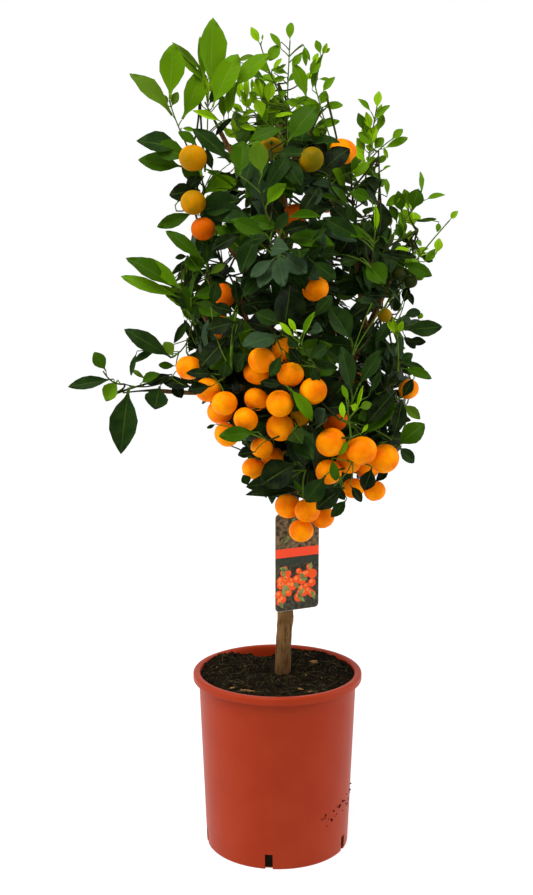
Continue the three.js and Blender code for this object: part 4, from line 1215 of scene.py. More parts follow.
@functools.lru_cache(maxsize=None)
def tubes_tree():
    """Round tubes along curves, each as thick as its curve's radius, with a relief of lumps."""
    tree, given, out = geometry_tree(
        "tubes", ("Sides", "Int", 6), ("Relief", "Float", 0.0), ("Lumps", "Float", 150.0),
        ("Finish", "Material"),
    )
    ring = add(tree, "GeometryNodeCurvePrimitiveCircle", {"Resolution": given["Sides"], "Radius": 1.0})
    tube = add(tree, "GeometryNodeCurveToMesh", {
        "Curve": given["Geometry"], "Profile Curve": ring.outputs["Curve"], "Fill Caps": True,
    })
    if "Scale" in tube.inputs:
        tree.links.new(tree.nodes.new("GeometryNodeInputRadius").outputs[0], tube.inputs["Scale"])
    lumps = add(tree, "ShaderNodeTexNoise", {"Scale": given["Lumps"], "Detail": 3.0}).outputs["Fac"]
    height = calc(tree, "MULTIPLY", calc(tree, "SUBTRACT", lumps, 0.5), given["Relief"])
    offset = scaled(tree, tree.nodes.new("GeometryNodeInputNormal").outputs[0], height)
    rough = add(tree, "GeometryNodeSetPosition", {"Geometry": tube.outputs[0], "Offset": offset})
    plain = add(tree, "GeometryNodeRealizeInstances", {"Geometry": rough.outputs[0]})
    tree.links.new(smooth_and_finish(tree, plain.outputs[0], given["Finish"]), out["Geometry"])
    return tree


def instanced(tree, points, forms, pick_index, rotation, scale):
    """Copies of the forms in a collection on points, made real."""
    source = add(tree, "GeometryNodeCollectionInfo", {"Collection": forms, "Separate Children": True})
    copies = add(tree, "GeometryNodeInstanceOnPoints", {
        "Points": points,
        "Instance": source.outputs[0],
        "Pick Instance": True,
        "Instance Index": pick_index,
        "Rotation": rotation,
        "Scale": scale,
    })
    return add(tree, "GeometryNodeRealizeInstances", {"Geometry": copies.outputs[0]}).outputs[0]


def named(tree, name, kind):
    """An attribute that the points or faces carry."""
    return add(tree, "GeometryNodeInputNamedAttribute", {"Name": name}, data_type=kind).outputs["Attribute"]


@functools.lru_cache(maxsize=None)
def copies_tree():
    """A form on each point, turned, sized and picked by its attributes, with a finish for each marked side."""
    tree, given, out = geometry_tree(
        "copies", ("Forms", "Collection"), ("Finish", "Material"), ("Second finish", "Material"),
        ("Third finish", "Material"),
    )
    turn, size = named(tree, "turn", "FLOAT_VECTOR"), named(tree, "size", "FLOAT_VECTOR")
    form, side = named(tree, "form", "INT"), named(tree, "side", "INT")
    real = instanced(tree, given["Geometry"], given["Forms"], form, turn, size)
    geometry = smooth_and_finish(tree, real, given["Finish"])
    for number, label in ((1, "Second finish"), (2, "Third finish")):
        mine = add(tree, "FunctionNodeCompare", {2: side, 3: number}, data_type="INT", operation="EQUAL")
        geometry = add(tree, "GeometryNodeSetMaterial", {
            "Geometry": geometry, "Selection": mine.outputs[0], "Material": given[label],
        }).outputs[0]
    tree.links.new(geometry, out["Geometry"])
    return tree


@functools.lru_cache(maxsize=None)
def litter_tree():
    """Forms strewn over a surface at random."""
    tree, given, out = geometry_tree(
        "litter", ("Forms", "Collection"), ("Density", "Float", 10000.0), ("Smallest", "Float", 0.002),
        ("Largest", "Float", 0.005), ("Tilt", "Float", 0.6), ("Seed", "Int", 1), ("Finish", "Material"),
    )
    strewn = add(tree, "GeometryNodeDistributePointsOnFaces", {
        "Mesh": given["Geometry"], "Density": given["Density"], "Seed": given["Seed"],
    })

    def chance(kind, bounds):
        """A random value between two bounds, given by their sockets' numbers."""
        return add(tree, "FunctionNodeRandomValue", {**bounds, "Seed": given["Seed"]}, data_type=kind).outputs

    tilt = add(tree, "ShaderNodeCombineXYZ", {"X": given["Tilt"], "Y": given["Tilt"], "Z": math.pi}).outputs[0]
    turn = chance("FLOAT_VECTOR", {0: scaled(tree, tilt, -1.0), 1: tilt})[0]
    size = chance("FLOAT", {2: given["Smallest"], 3: given["Largest"]})[1]
    form = chance("INT", {4: 0, 5: CHIP_COUNT - 1})[2]
    real = instanced(tree, strewn.outputs["Points"], given["Forms"], form, turn, size)
    tree.links.new(smooth_and_finish(tree, real, given["Finish"]), out["Geometry"])
    return tree


def linked(name, data):
    """An object in the scene."""
    made = bpy.data.objects.new(name, data)
    bpy.context.scene.collection.objects.link(made)
    return made


def evaluated(holder):
    """The plain mesh that a holder's modifier makes of it. The holder is then removed."""
    graph = bpy.context.evaluated_depsgraph_get()
    mesh = bpy.data.meshes.new_from_object(holder.evaluated_get(graph))
    bpy.data.objects.remove(holder)
    return mesh


def grown(holder, tree, values):
    """The plain mesh that a tree makes of a holder."""
    modifier = holder.modifiers.new(tree.name, "NODES")
    modifier.node_group = tree
    for socket in tree.interface.items_tree:
        if socket.in_out == "INPUT" and socket.name in values:
            modifier[socket.identifier] = values[socket.name]
    bpy.context.scene.collection.objects.link(holder)
    bpy.context.view_layer.update()
    mesh = evaluated(holder)
    if not mesh.polygons:
        raise RuntimeError(f"{tree.name} made nothing")
    return mesh


# ---- mesh helpers


def mesh_of(name, points, faces, scale=MM, smooth=True):
    """A mesh from points in millimetres."""
    mesh = bpy.data.meshes.new(name)
    mesh.from_pydata([tuple(float(part) * scale for part in point) for point in points], [], faces)
    mesh.polygons.foreach_set("use_smooth", [smooth] * len(mesh.polygons))
    mesh.update()
    return mesh


def recalculated(mesh):
    """The mesh with its doubles merged and its faces pointing out."""
    shape = bmesh.new()
    shape.from_mesh(mesh)
    bmesh.ops.remove_doubles(shape, verts=shape.verts, dist=1e-6)
    bmesh.ops.recalc_face_normals(shape, faces=shape.faces)
    shape.to_mesh(mesh)
    shape.free()
    mesh.update()
    return mesh


def joined(name, meshes):
    """One mesh of several."""
    shape = bmesh.new()
    for part in meshes:
        shape.from_mesh(part)
    mesh = bpy.data.meshes.new(name)
    shape.to_mesh(mesh)
    shape.free()
    return mesh


def piece(name, mesh, materials=(), nodes=()):
    """A finished piece in its place, which rides on the plant's one body."""
    mesh.name = name
    for material in materials:
        mesh.materials.append(material)
    made = linked(name, mesh)
    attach(made, BODY)
    if nodes:
        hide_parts(*nodes)
    return made


def turned(profile, sides):
    """A closed turned mesh from its half profile, from the axis back to the axis, as radius and height."""
    points, faces, rings = [], [], []
    for radius, height in profile:
        if radius < 1e-9:
            rings.append([len(points)] * sides)
            points.append((0, 0, height))
        else:
            rings.append(list(range(len(points), len(points) + sides)))
            points += [(*on_ring(radius, side, sides), height) for side in range(sides)]
    for low, high in zip(rings, rings[1:]):
        for side in range(sides):
            after = (side + 1) % sides
            corners = (low[side], low[after], high[after], high[side])
            faces.append(tuple(dict.fromkeys(corners)))
    return points, faces


def arc(centre, radius, start, stop, steps):
    """Points on an arc of a profile, with angles in degrees from outward."""
    middle, height = centre
    for step in range(steps + 1):
        angle = (start + (stop - start) * step / steps) * DEGREE
        yield middle + radius * math.cos(angle), height + radius * math.sin(angle)


def band(near, far, count):
    """The faces between two rings of points, given by their first points."""
    for side in range(count):
        after = (side + 1) % count
        yield near + side, near + after, far + after, far + side


def loft(path, radius_at, sides, steps):
    """Points and faces of a closed tube along a path."""
    shares = np.linspace(0, 1, steps + 1)
    tangent = path.tangent(0)
    aside = across_from(tangent, np.array((0.0, 1.0, 0.0)))
    points = []
    for share in shares:
        tangent = path.tangent(share)
        aside = unit(aside - tangent * (aside @ tangent))
        across = np.cross(tangent, aside)
        middle = path.at(share)
        for side in range(sides):
            angle = side / sides * TURN
            way = aside * math.cos(angle) + across * math.sin(angle)
            points.append(middle + way * radius_at(share, angle, middle, way))
    faces = [tuple(reversed(range(sides))), tuple(range(steps * sides, (steps + 1) * sides))]
    for step in range(steps):
        faces += band(step * sides, (step + 1) * sides, sides)
    return points, faces


def curves_of(name, paths, points_each):
    """A curve object with one spline for each (path, radius function)."""
    data = bpy.data.curves.new(name, "CURVE")
    data.dimensions = "3D"
    for path, radius_at in paths:
        spline = data.splines.new("POLY")
        spline.points.add(points_each - 1)
        shares = np.linspace(0, 1, points_each)
        places = path.places(shares) * MM
        spline.points.foreach_set("co", np.column_stack((places, np.ones(points_each))).ravel())
        spline.points.foreach_set("radius", [radius_at(share) * MM for share in shares])
    return bpy.data.objects.new(name, data)


def collection_of(name, meshes):
    """A collection with an object for each mesh, which the scene doesn't show."""
    made = bpy.data.collections.new(name)
    for index, mesh in enumerate(meshes):
        made.objects.link(bpy.data.objects.new(f"{name}_{index}", mesh))
    return made


def points_of(name, places, turns, sizes, forms):
    """An object of loose points with the attributes that the copies tree reads."""
    mesh = bpy.data.meshes.new(name)
    mesh.from_pydata([tuple(place * MM) for place in places], [], [])
    for label, values in (("turn", turns), ("size", sizes)):
        layer = mesh.attributes.new(label, "FLOAT_VECTOR", "POINT")
        layer.data.foreach_set("vector", np.asarray(values, float).ravel())
    layer = mesh.attributes.new("form", "INT", "POINT")
    layer.data.foreach_set("value", list(forms))
    return bpy.data.objects.new(name, mesh)


def copied(name, rows, forms, finish_of, second=None, third=None):
    """A form at each row's place, with its turn, size and form, and with up to three finishes."""
    return grown(points_of(name, *zip(*rows)), copies_tree(), {
        "Forms": forms, "Finish": finish_of, "Second finish": second or finish_of,
        "Third finish": third or second or finish_of,
    })


def tubed(name, paths, points_each, sides, relief, lumps, finish_of):
    """A tube along each path."""
    return grown(curves_of(name, paths, points_each), tubes_tree(), {
        "Sides": sides, "Relief": relief, "Lumps": lumps, "Finish": finish_of,
    })


def turn_of(aside, along, face):
    """The Euler turn that takes X, Y and Z to three directions square to each other."""
    return Matrix((aside, along, face)).transposed().to_euler()


def mark_sides(mesh, sides):
    layer = mesh.attributes.new("side", "INT", "FACE")
    layer.data.foreach_set("value", sides)


# ---- forms


def leaf_form(name, fold, droop, wave, twist, widest, pointed):
    """A leaf one long and half as wide: a stalk, a blade folded at its pale rib, and a paler underside."""
    stations = (-LEAF_PETIOLE, 0.0, 0.07, 0.22, 0.42, 0.62, 0.79, 0.93)
    top = (-1.0, -LEAF_RIB, LEAF_RIB, 1.0)
    thick = 0.008
    points, marks, faces = [], [], []

    def half_width(share):
        if share <= 0:
            return 0.026
        return max(0.026, LEAF_MEAN_WIDTH / 2 * math.sin(math.pi * share**widest) ** (pointed - 0.2 * share))

    def place(share, across, lift):
        aside = across * half_width(share)
        edge = fold * abs(aside) + wave * math.sin(share * 11 + math.copysign(1, across)) * abs(across)
        along = LEAF_PETIOLE + share * (1 - LEAF_PETIOLE)
        return aside, along, edge + lift - droop * share * share + twist * share * aside

    for share in stations:
        points += [place(share, across, 0.0) for across in top]
        points.append(place(share, 0.0, -thick if share > 0 else -0.03))
    tip = len(points)
    points.append((0.0, 1.0, -droop))
    ring = len(top) + 1
    faces.append(tuple(range(ring)))
    marks.append(1)
    for index, share in enumerate(stations):
        start = index * ring
        for side in range(ring):
            after = (side + 1) % ring
            near, near_after = start + side, start + after
            far, far_after = near + ring, near_after + ring
            if index + 1 == len(stations):
                made = [(near, near_after, tip)]
            elif side in (0, 3):
                made = [(near, near_after, far), (near_after, far_after, far)]
            else:
                made = [(near, near_after, far_after), (near, far_after, far)]
            faces += made
            marks += [1 if side == 1 or share < 0 else 0 if side < 3 else 2] * len(made)
    mesh = mesh_of(name, points, faces, 1.0)
    mark_sides(mesh, marks)
    layer = mesh.uv_layers.new(name="UVMap")
    for loop in mesh.loops:
        x, y, _ = mesh.vertices[loop.vertex_index].co
        layer.data[loop.index].uv = (0.5 + x / LEAF_MEAN_WIDTH, y)
    rims = {0, 3}
    sharp = mesh.attributes.new("sharp_edge", "BOOLEAN", "EDGE")
    for edge in mesh.edges:
        sharp.data[edge.index].value = all(corner < tip and corner % ring in rims for corner in edge.vertices)
    return recalculated(mesh)


def fruit_form(name, around=28, down=18, lobes=10):
    """A fruit of radius one: squat, with furrows at its stalk, a dimple below and a star of sepals."""
    points, faces = [], []
    for ring in range(1, down):
        slope = ring / down * math.pi
        top, bottom = math.exp(-((slope / 0.42) ** 2)), math.exp(-(((math.pi - slope) / 0.22) ** 2))
        height = 0.93 * math.cos(slope) - 0.1 * top + 0.05 * bottom
        for side in range(around):
            furrow = 1 - 0.05 * top * (0.5 + 0.5 * math.cos(7 * (side / around * TURN)))
            x, y = on_ring(math.sin(slope), side, around)
            points.append((x * furrow, y * furrow, height))
    crown, base = len(points), len(points) + 1
    points += [(0, 0, 0.82), (0, 0, -0.87)]
    for side in range(around):
        after = (side + 1) % around
        faces.append((crown, side, after))
        faces.append((base, (down - 2) * around + after, (down - 2) * around + side))
        for ring in range(down - 2):
            near, far = ring * around, (ring + 1) * around
            faces.append((near + side, far + side, far + after, near + after))
    marks = [0] * len(faces) + [1] * (lobes + 2)
    for height in (0.83, 0.87):
        for side in range(lobes):
            reach, sag = (0.3, 0.05) if side % 2 else (0.15, 0.0)
            points.append((*on_ring(reach, side, lobes), height - sag))
    low, high = base + 1, base + 1 + lobes
    faces += [tuple(reversed(range(low, high))), tuple(range(high, high + lobes)), *band(low, high, lobes)]
    mesh = mesh_of(name, points, faces, 1.0)
    mark_sides(mesh, marks)
    return mesh


def chip_forms(name, count, flatness, seed):
    """A few rough lumps or flakes about one long."""
    noise.seed_set(CHIP_SEED)
    meshes = []
    for index in range(count):
        shape = bmesh.new()
        bmesh.ops.create_icosphere(shape, subdivisions=1, radius=0.5)
        for corner in shape.verts:
            jolt = noise.noise_vector(corner.co * 2.3 + Vector((seed, index * 7.1, 0)))
            corner.co = Vector((corner.co.x, corner.co.y * CHIP_WIDTH, corner.co.z * flatness)) + jolt * 0.16
        mesh = bpy.data.meshes.new(f"{name}_{index}")
        shape.to_mesh(mesh)
        shape.free()
        meshes.append(mesh)
    return collection_of(name, meshes)


# ---- settings


def tone(name, description, red, green, blue):
    colour = linear(red, green, blue)
    limits = {"size": 4, "min": 0, "max": 1, "subtype": "COLOR"}
    return FloatVectorProperty(name=name, description=description, default=colour, **limits)


def number(name, description, default, **limits):
    return FloatProperty(name=name, description=description, default=default, **limits)


class PotSettings(bpy.types.PropertyGroup):
    """The plastic pot."""

    colour: tone("Wall", "The plastic's colour", 142, 41, 11)
    faded: tone("Faded wall", "Where the plastic is scuffed", 151, 51, 19)
    soil: tone("Soil", "Soil on the wall", 34, 20, 12)
    roughness: number("Roughness", "How matt the plastic is", 0.42, min=0, max=1)


class CompostSettings(bpy.types.PropertyGroup):
    """The compost and what lies on it."""

    colour: tone("Compost", "Damp compost", 10, 8, 4)
    crumb: tone("Crumbs", "Drier crumbs", 42, 33, 20)
    bark: tone("Bark bits", "Pale bits of bark", 158, 116, 68)
    moss: tone("Moss", "Moss near the stem", 48, 50, 26)
    fibre: tone("Fibres", "Pale fibres on the compost", 82, 78, 50)
    lump: number("Lumps", "Height of the lumps", 0.004, unit="LENGTH")
    seed: IntProperty(name="Seed", description="Places the crumbs", default=11, min=0)


class BarkSettings(bpy.types.PropertyGroup):
    """The bark of trunk and boughs."""

    colour: tone("Bark", "Main colour", 99, 69, 38)
    pale: tone("Pale bark", "Patches of paler bark", 122, 92, 56)
    fissure: tone("Fissures", "The bark's streaks", 70, 47, 25)
    relief: number("Relief", "Height of the bark's ridges", 0.0006, unit="LENGTH")


class FoliageSettings(bpy.types.PropertyGroup):
    """Leaves and twigs."""

    fresh: tone("Fresh", "Young leaves on thin shoots", 120, 160, 6)
    bright: tone("Bright", "This year's leaves", 80, 118, 1)
    green: tone("Green", "Leaves between bright and deep", 42, 72, 0)
    deep: tone("Deep", "Grown leaves", 21, 41, 10)
    # This tint is painted shade: near black, for leaves deep in the crown and under it; older leaves are darker
    # too.
    dark: tone("Dark", "The oldest leaves, darkened as painted shade", 5, 12, 4)
    # This tint is painted sheen: a greyish blue-green in the base colour, for leaves that show a sheen.
    dusk: tone("Painted sheen", "Old leaves with a painted greyish sheen", 42, 60, 40)
    # This tint is partly the underside's own colour and partly painted sheen, for leaves that look greyer where
    # light glances off them.
    pale: tone("Pale", "Leaves that show their underside, and leaves paler for a painted sheen", 74, 102, 16)
    rib: tone("Rib", "A leaf's rib and stalk", 96, 126, 30)
    under: tone("Underside", "The underside of leaves", 82, 110, 38)
    twig: tone("Green twigs", "This year's wood", 60, 84, 20)
    wood: tone("Brown twigs", "Older wood", 38, 34, 18)
    gloss: number("Roughness", "How matt a grown leaf is", 0.42, min=0, max=1)


class FruitSettings(bpy.types.PropertyGroup):
    """The fruit."""

    ripe: tone("Ripe", "Ripe peel", 246, 146, 0)
    blush: tone("Blush", "Riper patches", 214, 94, 0)
    # This peel is painted shade: a darker orange for fruit that hangs back in the crown's shade.
    deep: tone("Deep", "The deepest orange", 182, 80, 0)
    turning: tone("Turning", "Fruit that turns", 146, 105, 0)
    unripe: tone("Unripe", "Green fruit", 94, 84, 2)
    young: tone("Young", "Small hard fruit", 14, 34, 12)
    sepals: tone("Sepals", "The green star at the stalk", 70, 96, 32)
    pores: number("Pores", "Depth of the peel's pores", 0.0004, unit="LENGTH")


class LabelSettings(bpy.types.PropertyGroup):
    """The hanging label."""

    ground: tone("Ground", "The print's dark ground", 44, 44, 36)
    patch: tone("Patches", "Paler patches of the print's ground", 92, 88, 74)
    upper: tone("Upper ground", "The ground above the band", 130, 106, 76)
    strip: tone("Strip", "The bare strip below the band", 60, 66, 54)
    glow: tone("Glow", "The lit side of the print's fruit", 246, 138, 74)
    band: tone("Band", "The bare band", 242, 78, 50)
    discs: tone("Discs", "The print's round fruit", 236, 88, 36)
    leaves: tone("Leaves", "The print's leaves", 136, 148, 84)
    card: tone("Card", "The card itself", 205, 200, 190)


class StageSettings(bpy.types.PropertyGroup):
    """Floor, light and camera."""

    floor: tone("Floor", "The pale floor", 165, 165, 165)
    front_glow: tone("Front glow", "Light that the floor gives before the plant", 132, 132, 132)
    back_glow: tone("Back glow", "Light that the floor gives behind the plant", 225, 225, 225)
    left: number("Left light", "Power of the left light", 52, unit="POWER")
    right: number("Right light", "Power of the right light", 42, unit="POWER")
    top: number("Top light", "Power of the top light", 94, unit="POWER")
    lens: number("Lens", "Focal length", VIEW_LENS, unit="CAMERA")
    camera: FloatVectorProperty(
        name="Camera", description="Its place", default=tuple(VIEW_PLACE * MM), unit="LENGTH",
    )
    pitch: number("Pitch", "Down from level", VIEW_PITCH, unit="ROTATION")


class PlantSettings(bpy.types.PropertyGroup):
    """All settings of the potted plant."""

    pot: PointerProperty(type=PotSettings, name="Pot", description="The pot")
    compost: PointerProperty(type=CompostSettings, name="Compost", description="The compost")
    bark: PointerProperty(type=BarkSettings, name="Bark", description="The bark")
    foliage: PointerProperty(type=FoliageSettings, name="Foliage", description="Leaves and twigs")
    fruit: PointerProperty(type=FruitSettings, name="Fruit", description="The fruit")
    label: PointerProperty(type=LabelSettings, name="Label", description="The label")
    stage: PointerProperty(type=StageSettings, name="Stage", description="Floor, light and camera")


# ---- pot, compost


def inner_radius(height):
    """The radius of the pot's inner wall at a height."""
    top = POT.rim - POT.lip - POT.wall
    bottom = POT.foot - POT.wall
    return bottom + (top - bottom) * (height - POT.floor) / (POT.height - POT.floor)


def pot_profile():
    """The pot's wall with its rounded foot and rolled lip."""
    under_lip = POT.height - POT.lip_height
    fillet, roll = 1.2, 2.6
    yield 0, 0
    yield from arc((POT.foot - POT.foot_round, POT.foot_round), POT.foot_round, -90, 0, 5)
    yield POT.rim - POT.lip - 0.4, under_lip - 4
    yield from arc((POT.rim - POT.lip + fillet, under_lip - fillet), fillet, 180, 90, 3)
    yield from arc((POT.rim - fillet, under_lip + fillet), fillet, -90, 0, 4)
    yield from arc((POT.rim - roll, POT.height - roll), roll, 0, 90, 6)
    inner = inner_radius(POT.height)
    yield from arc((inner + roll, POT.height - roll), roll, 90, 165, 4)
    yield inner_radius(POT.height - 6), POT.height - 6
    yield inner_radius(POT.floor + 2), POT.floor + 2
    yield inner_radius(POT.floor) - 2, POT.floor
    yield 0, POT.floor


def cut(target, cutters):
    """The target without the cutters' shapes."""
    other, body = linked("cutters", cutters), linked("body", target)
    modifier = body.modifiers.new("slots", "BOOLEAN")
    modifier.operation = "DIFFERENCE"
    modifier.solver = "EXACT"
    modifier.object = other
    mesh = evaluated(body)
    bpy.data.objects.remove(other)
    return mesh


def slot_cutters():
    """The boxes that open the slots at the pot's foot."""
    points, faces = [], []
    box = ((0, 1, 3, 2), (4, 6, 7, 5), (0, 4, 5, 1), (2, 3, 7, 6), (0, 2, 6, 4), (1, 5, 7, 3))
    middle = POT.foot + POT.wall / 2
    for index in range(SLOTS.count):
        spin = SLOTS.first + index / SLOTS.count * TURN
        sine, cosine = math.sin(spin), math.cos(spin)
        start = len(points)
        for x in (-SLOTS.width / 2, SLOTS.width / 2):
            for y in (-middle - SLOTS.reach, -middle + SLOTS.reach):
                for z in (-SLOTS.height, SLOTS.height):
                    points.append((x * cosine - y * sine, x * sine + y * cosine, z))
        faces += [tuple(start + corner for corner in face) for face in box]
    return recalculated(mesh_of("cutters", points, faces))


def make_pot(look):
    material, tree, shader, place = finish("pot_plastic", look.roughness, gloss=0.1)
    coloured(tree, shader, mottled(tree, place, look.colour, look.faded, 22.0, 0.45))
    bumped(tree, shader, grained(tree, place, 260.0, (1.0, 1.0, 0.25)), 0.25, 0.0004)
    mesh = cut(recalculated(mesh_of("pot_body", *turned(pot_profile(), POT.sides))), slot_cutters())
    mesh.set_sharp_from_angle(angle=40 * DEGREE)
    piece("pot_shell", mesh, (material,), ("pot",))
    draw = draws(SPECKS.seed)
    rows = []
    for speck in range(SPECKS.count):
        along = (speck + draw()) / SPECKS.count
        spin = SPECKS.first + (SPECKS.last - SPECKS.first) * along
        height = SPECKS.low + (SPECKS.high - SPECKS.low) * (along + draw()) / 2
        radius = POT.foot + (POT.rim - POT.lip - POT.foot) * height / POT.height
        place = np.array((radius * math.sin(spin), -radius * math.cos(spin), height))
        turn = (TURN * draw(), TURN * draw(), 0)
        size = SPECKS.smallest + (SPECKS.largest - SPECKS.smallest) * draw() ** 2
        rows.append((place, turn, (size, size, size), 0))
    soil = soft_finish("pot_soil", look.soil, look.soil, 0.9)
    piece("pot_soil", copied("specks", rows, chip_forms("speck", 1, 0.6, 3.0), soil))


def compost_height(x, y, lump):
    """The height of the compost's top, in millimetres: lumps on a few wide swells and dips."""
    place = Vector((x, y, 3.0))
    coarse = noise.fractal(place / 19, 0.8, 2.1, 3)
    fine = noise.fractal(place / 5.5, 0.7, 2.0, 4)
    swells = sum(
        rise * math.exp(-((x - across) ** 2 + (y - back) ** 2) / spread**2)
        for across, back, spread, rise in COMPOST_SWELLS
    )
    edge = COMPOST_EDGE_DROP * ((x * x + y * y) / inner_radius(COMPOST_TOP) ** 2)
    return COMPOST_TOP + COMPOST_HEAP - edge + swells + lump * (0.75 * coarse + 0.6 * fine)


def strand(draw, lump):
    """A thin root fibre that lies on the compost."""
    turn, reach = draw() * TURN, COMPOST_FIBRES[1] * math.sqrt(draw())
    x, y = reach * math.cos(turn), reach * math.sin(turn)
    heading, length = draw() * TURN, 4 + 12 * draw() ** 2
    far_x, far_y = x + length * math.cos(heading), y + length * math.sin(heading)
    if math.hypot(far_x, far_y) > COMPOST_FIBRES[1] + 2:
        far_x, far_y = x - length * math.cos(heading), y - length * math.sin(heading)
    start = (x, y, compost_height(x, y, lump) + 0.6)
    end = (far_x, far_y, compost_height(far_x, far_y, lump) + 0.8)
    way = (4 * (draw() - 0.5), 4 * (draw() - 0.5), 1.5 + 2 * draw())
    return bowed(np.array(start), np.array(end), np.array(way))


def make_compost(look):
    outer = inner_radius(COMPOST_TOP - COMPOST_EDGE_DROP) - GAP
    rings, around = 64, 200
    lump = look.lump / MM
    points, faces = [], []
    for ring in range(rings + 1):
        radius = outer * ((ring + 0.4) / (rings + 0.4))
        for side in range(around):
            x, y = on_ring(radius, side, around)
            points.append((x, y, compost_height(x, y, lump)))
        near, far = ring * around, (ring + 1) * around
        faces += [(near + s, far + s, far + (s + 1) % around, near + (s + 1) % around) for s in range(around)]
    top_points, top_faces = list(points), faces[: rings * around]
    floor = POT.floor + GAP
    points += [(*on_ring(inner_radius(floor) * 0.985, side, around), floor) for side in range(around)]
    faces += [tuple(range(around)), tuple(reversed(range(len(top_points), len(points))))]
    soil = soft_finish("compost", look.colour, look.crumb, 0.95, 220.0, 0.6, 900.0, 0.001)
    body = recalculated(mesh_of("compost_body", points, faces))
    piece("compost_fill", body, (soil,), ("compost",))

    def strewn(name, colour, second, forms, density, smallest, largest, tilt, seed):
        """A layer of one kind of litter over the top."""
        holder = bpy.data.objects.new("ground", mesh_of("ground", top_points, top_faces))
        litter = grown(holder, litter_tree(), {
            "Forms": forms,
            "Density": density,
            "Smallest": smallest,
            "Largest": largest,
            "Tilt": tilt,
            "Seed": look.seed + seed,
            "Finish": soft_finish(name, colour, second, 0.9, 150.0, 0.6, 700.0, 0.0006),
        })
        piece(name, litter)

    lumps, flakes = chip_forms("crumb", CHIP_COUNT, 0.7, 1.0), chip_forms("flake", CHIP_COUNT, 0.22, 5.0)
    strewn("compost_crumbs", look.colour, look.crumb, lumps, 80000.0, 0.0014, 0.0048, 3.0, 0)
    strewn("compost_bark", look.crumb, look.bark, flakes, 900.0, 0.003, 0.006, 0.5, 1)
    strewn("compost_moss", look.moss, look.crumb, lumps, 9000.0, 0.0012, 0.003, 3.0, 2)
    rows = []
    for index, (x, y, length, width, height, turn) in enumerate(COMPOST_BITS):
        size = (length * MM, width / CHIP_WIDTH * MM, height / BIT_HEIGHT * MM)
        place = np.array((x, y, compost_height(x, y, lump) + 0.8))
        rows.append((place, (0, 0, turn), size, index % CHIP_COUNT))
    tan = soft_finish("bark_bits", look.bark, look.crumb, 0.9, 300.0, 0.7, 700.0, 0.0006)
    piece("compost_bits", copied("bits", rows, flakes, tan))
    draw = draws(look.seed)
    strands = [(strand(draw, lump), taper(0.28, 0.16)) for _ in range(COMPOST_FIBRES[0])]
    roots = soft_finish("fibres", look.fibre, look.moss, 0.9, 90.0, 1.0)
    piece("compost_fibres", tubed("fibres", strands, 6, 4, 0.0, 100.0, roots))


# ---- trunk, twigs


def make_bark(look):
    bark = bark_finish(look)
    limbs = grown_crown().limbs
    ridge = look.relief / MM

    def rough_radius(share, angle, middle, way):
        """The trunk's radius with streaks and lumps of bark."""
        base = trunk_radius(share, angle)
        place = Vector(middle + way * base)
        streak = noise.fractal(Vector((place.x / 2.6, place.y / 2.6, place.z / 26)), 0.8, 2.0, 4)
        lump = noise.fractal(place / 14, 0.9, 2.0, 3)
        return base + ridge * (streak + 0.9 * lump)

    mesh = recalculated(mesh_of("trunk_bark", *loft(limbs["trunk"].path, rough_radius, 64, 220)))
    piece("trunk_bark", mesh, (bark,), ("trunk",))

    def collared(limb):
        """A bough's radius, thicker where it springs."""
        return lambda share: limb.radius(share) * (1 + 0.35 * math.exp(-share * 9))

    boughs = [(limb.path, collared(limb)) for name, limb in limbs.items() if name != "trunk"]
    mesh = tubed("boughs", boughs, 30, 14, look.relief * 1.5, 160.0, bark)
    piece("bough_bark", mesh, (), BOUGH_NODES)


def make_twigs(look):
    wood = soft_finish("brown_twigs", look.wood, look.twig, 0.8, 80.0, 0.5, 900.0, 0.0003)
    soft = soft_finish("green_twigs", look.twig, look.rib, 0.55, 60.0, 0.5, 900.0, 0.0001)
    for age, name, finish_of, sides in (("woody", "twigs_brown", wood, 7), ("green", "twigs_green", soft, 6)):
        twigs = [(twig.path, thinning(twig.foot, twig.tip)) for twig in grown_crown().twigs if twig.age == age]
        piece(name, tubed(name, twigs, 8, sides, 0.0003, 400.0, finish_of), (), FOLIAGE_NODES)


# ---- leaves, fruit


def make_leaves(look):
    meshes = [leaf_form(f"leaf_form_{index}", *form) for index, form in enumerate(LEAF_FORMS)]
    forms = collection_of("leaf_form", meshes)
    rib = soft_finish("leaf_rib", look.rib, look.bright, 0.45)
    for tint in TINTS:
        colour, young = getattr(look, tint), tint in YOUNG
        paler = plain_pair(colour, look.under, 0.5)
        blade = leaf_finish(f"leaf_{tint}", colour, paler, look.gloss + (0.06 if young else 0.0))
        under = soft_finish(f"leaf_under_{tint}", paler, colour, 0.6)
        own_rib = rib
        if not young:
            own_rib = soft_finish(f"leaf_rib_{tint}", plain_pair(colour, look.rib, 0.3), colour, 0.5)
        leaves = [leaf for leaf in grown_crown().leaves if leaf.tint == tint]
        rows = []
        for leaf in leaves:
            aside = across_from(leaf.along, leaf.face)
            turn = turn_of(aside, leaf.along, np.cross(aside, leaf.along))
            length = leaf.length * MM
            rows.append((leaf.root, turn, (length * leaf.width / LEAF_MEAN_WIDTH, length, length), leaf.form))
        nodes = sorted({f"foliage_{leaf.mass}" for leaf in leaves})
        mesh = copied(f"leaves_{tint}", rows, forms, blade, own_rib, under)
        piece(f"leaves_{tint}", mesh, (), nodes)


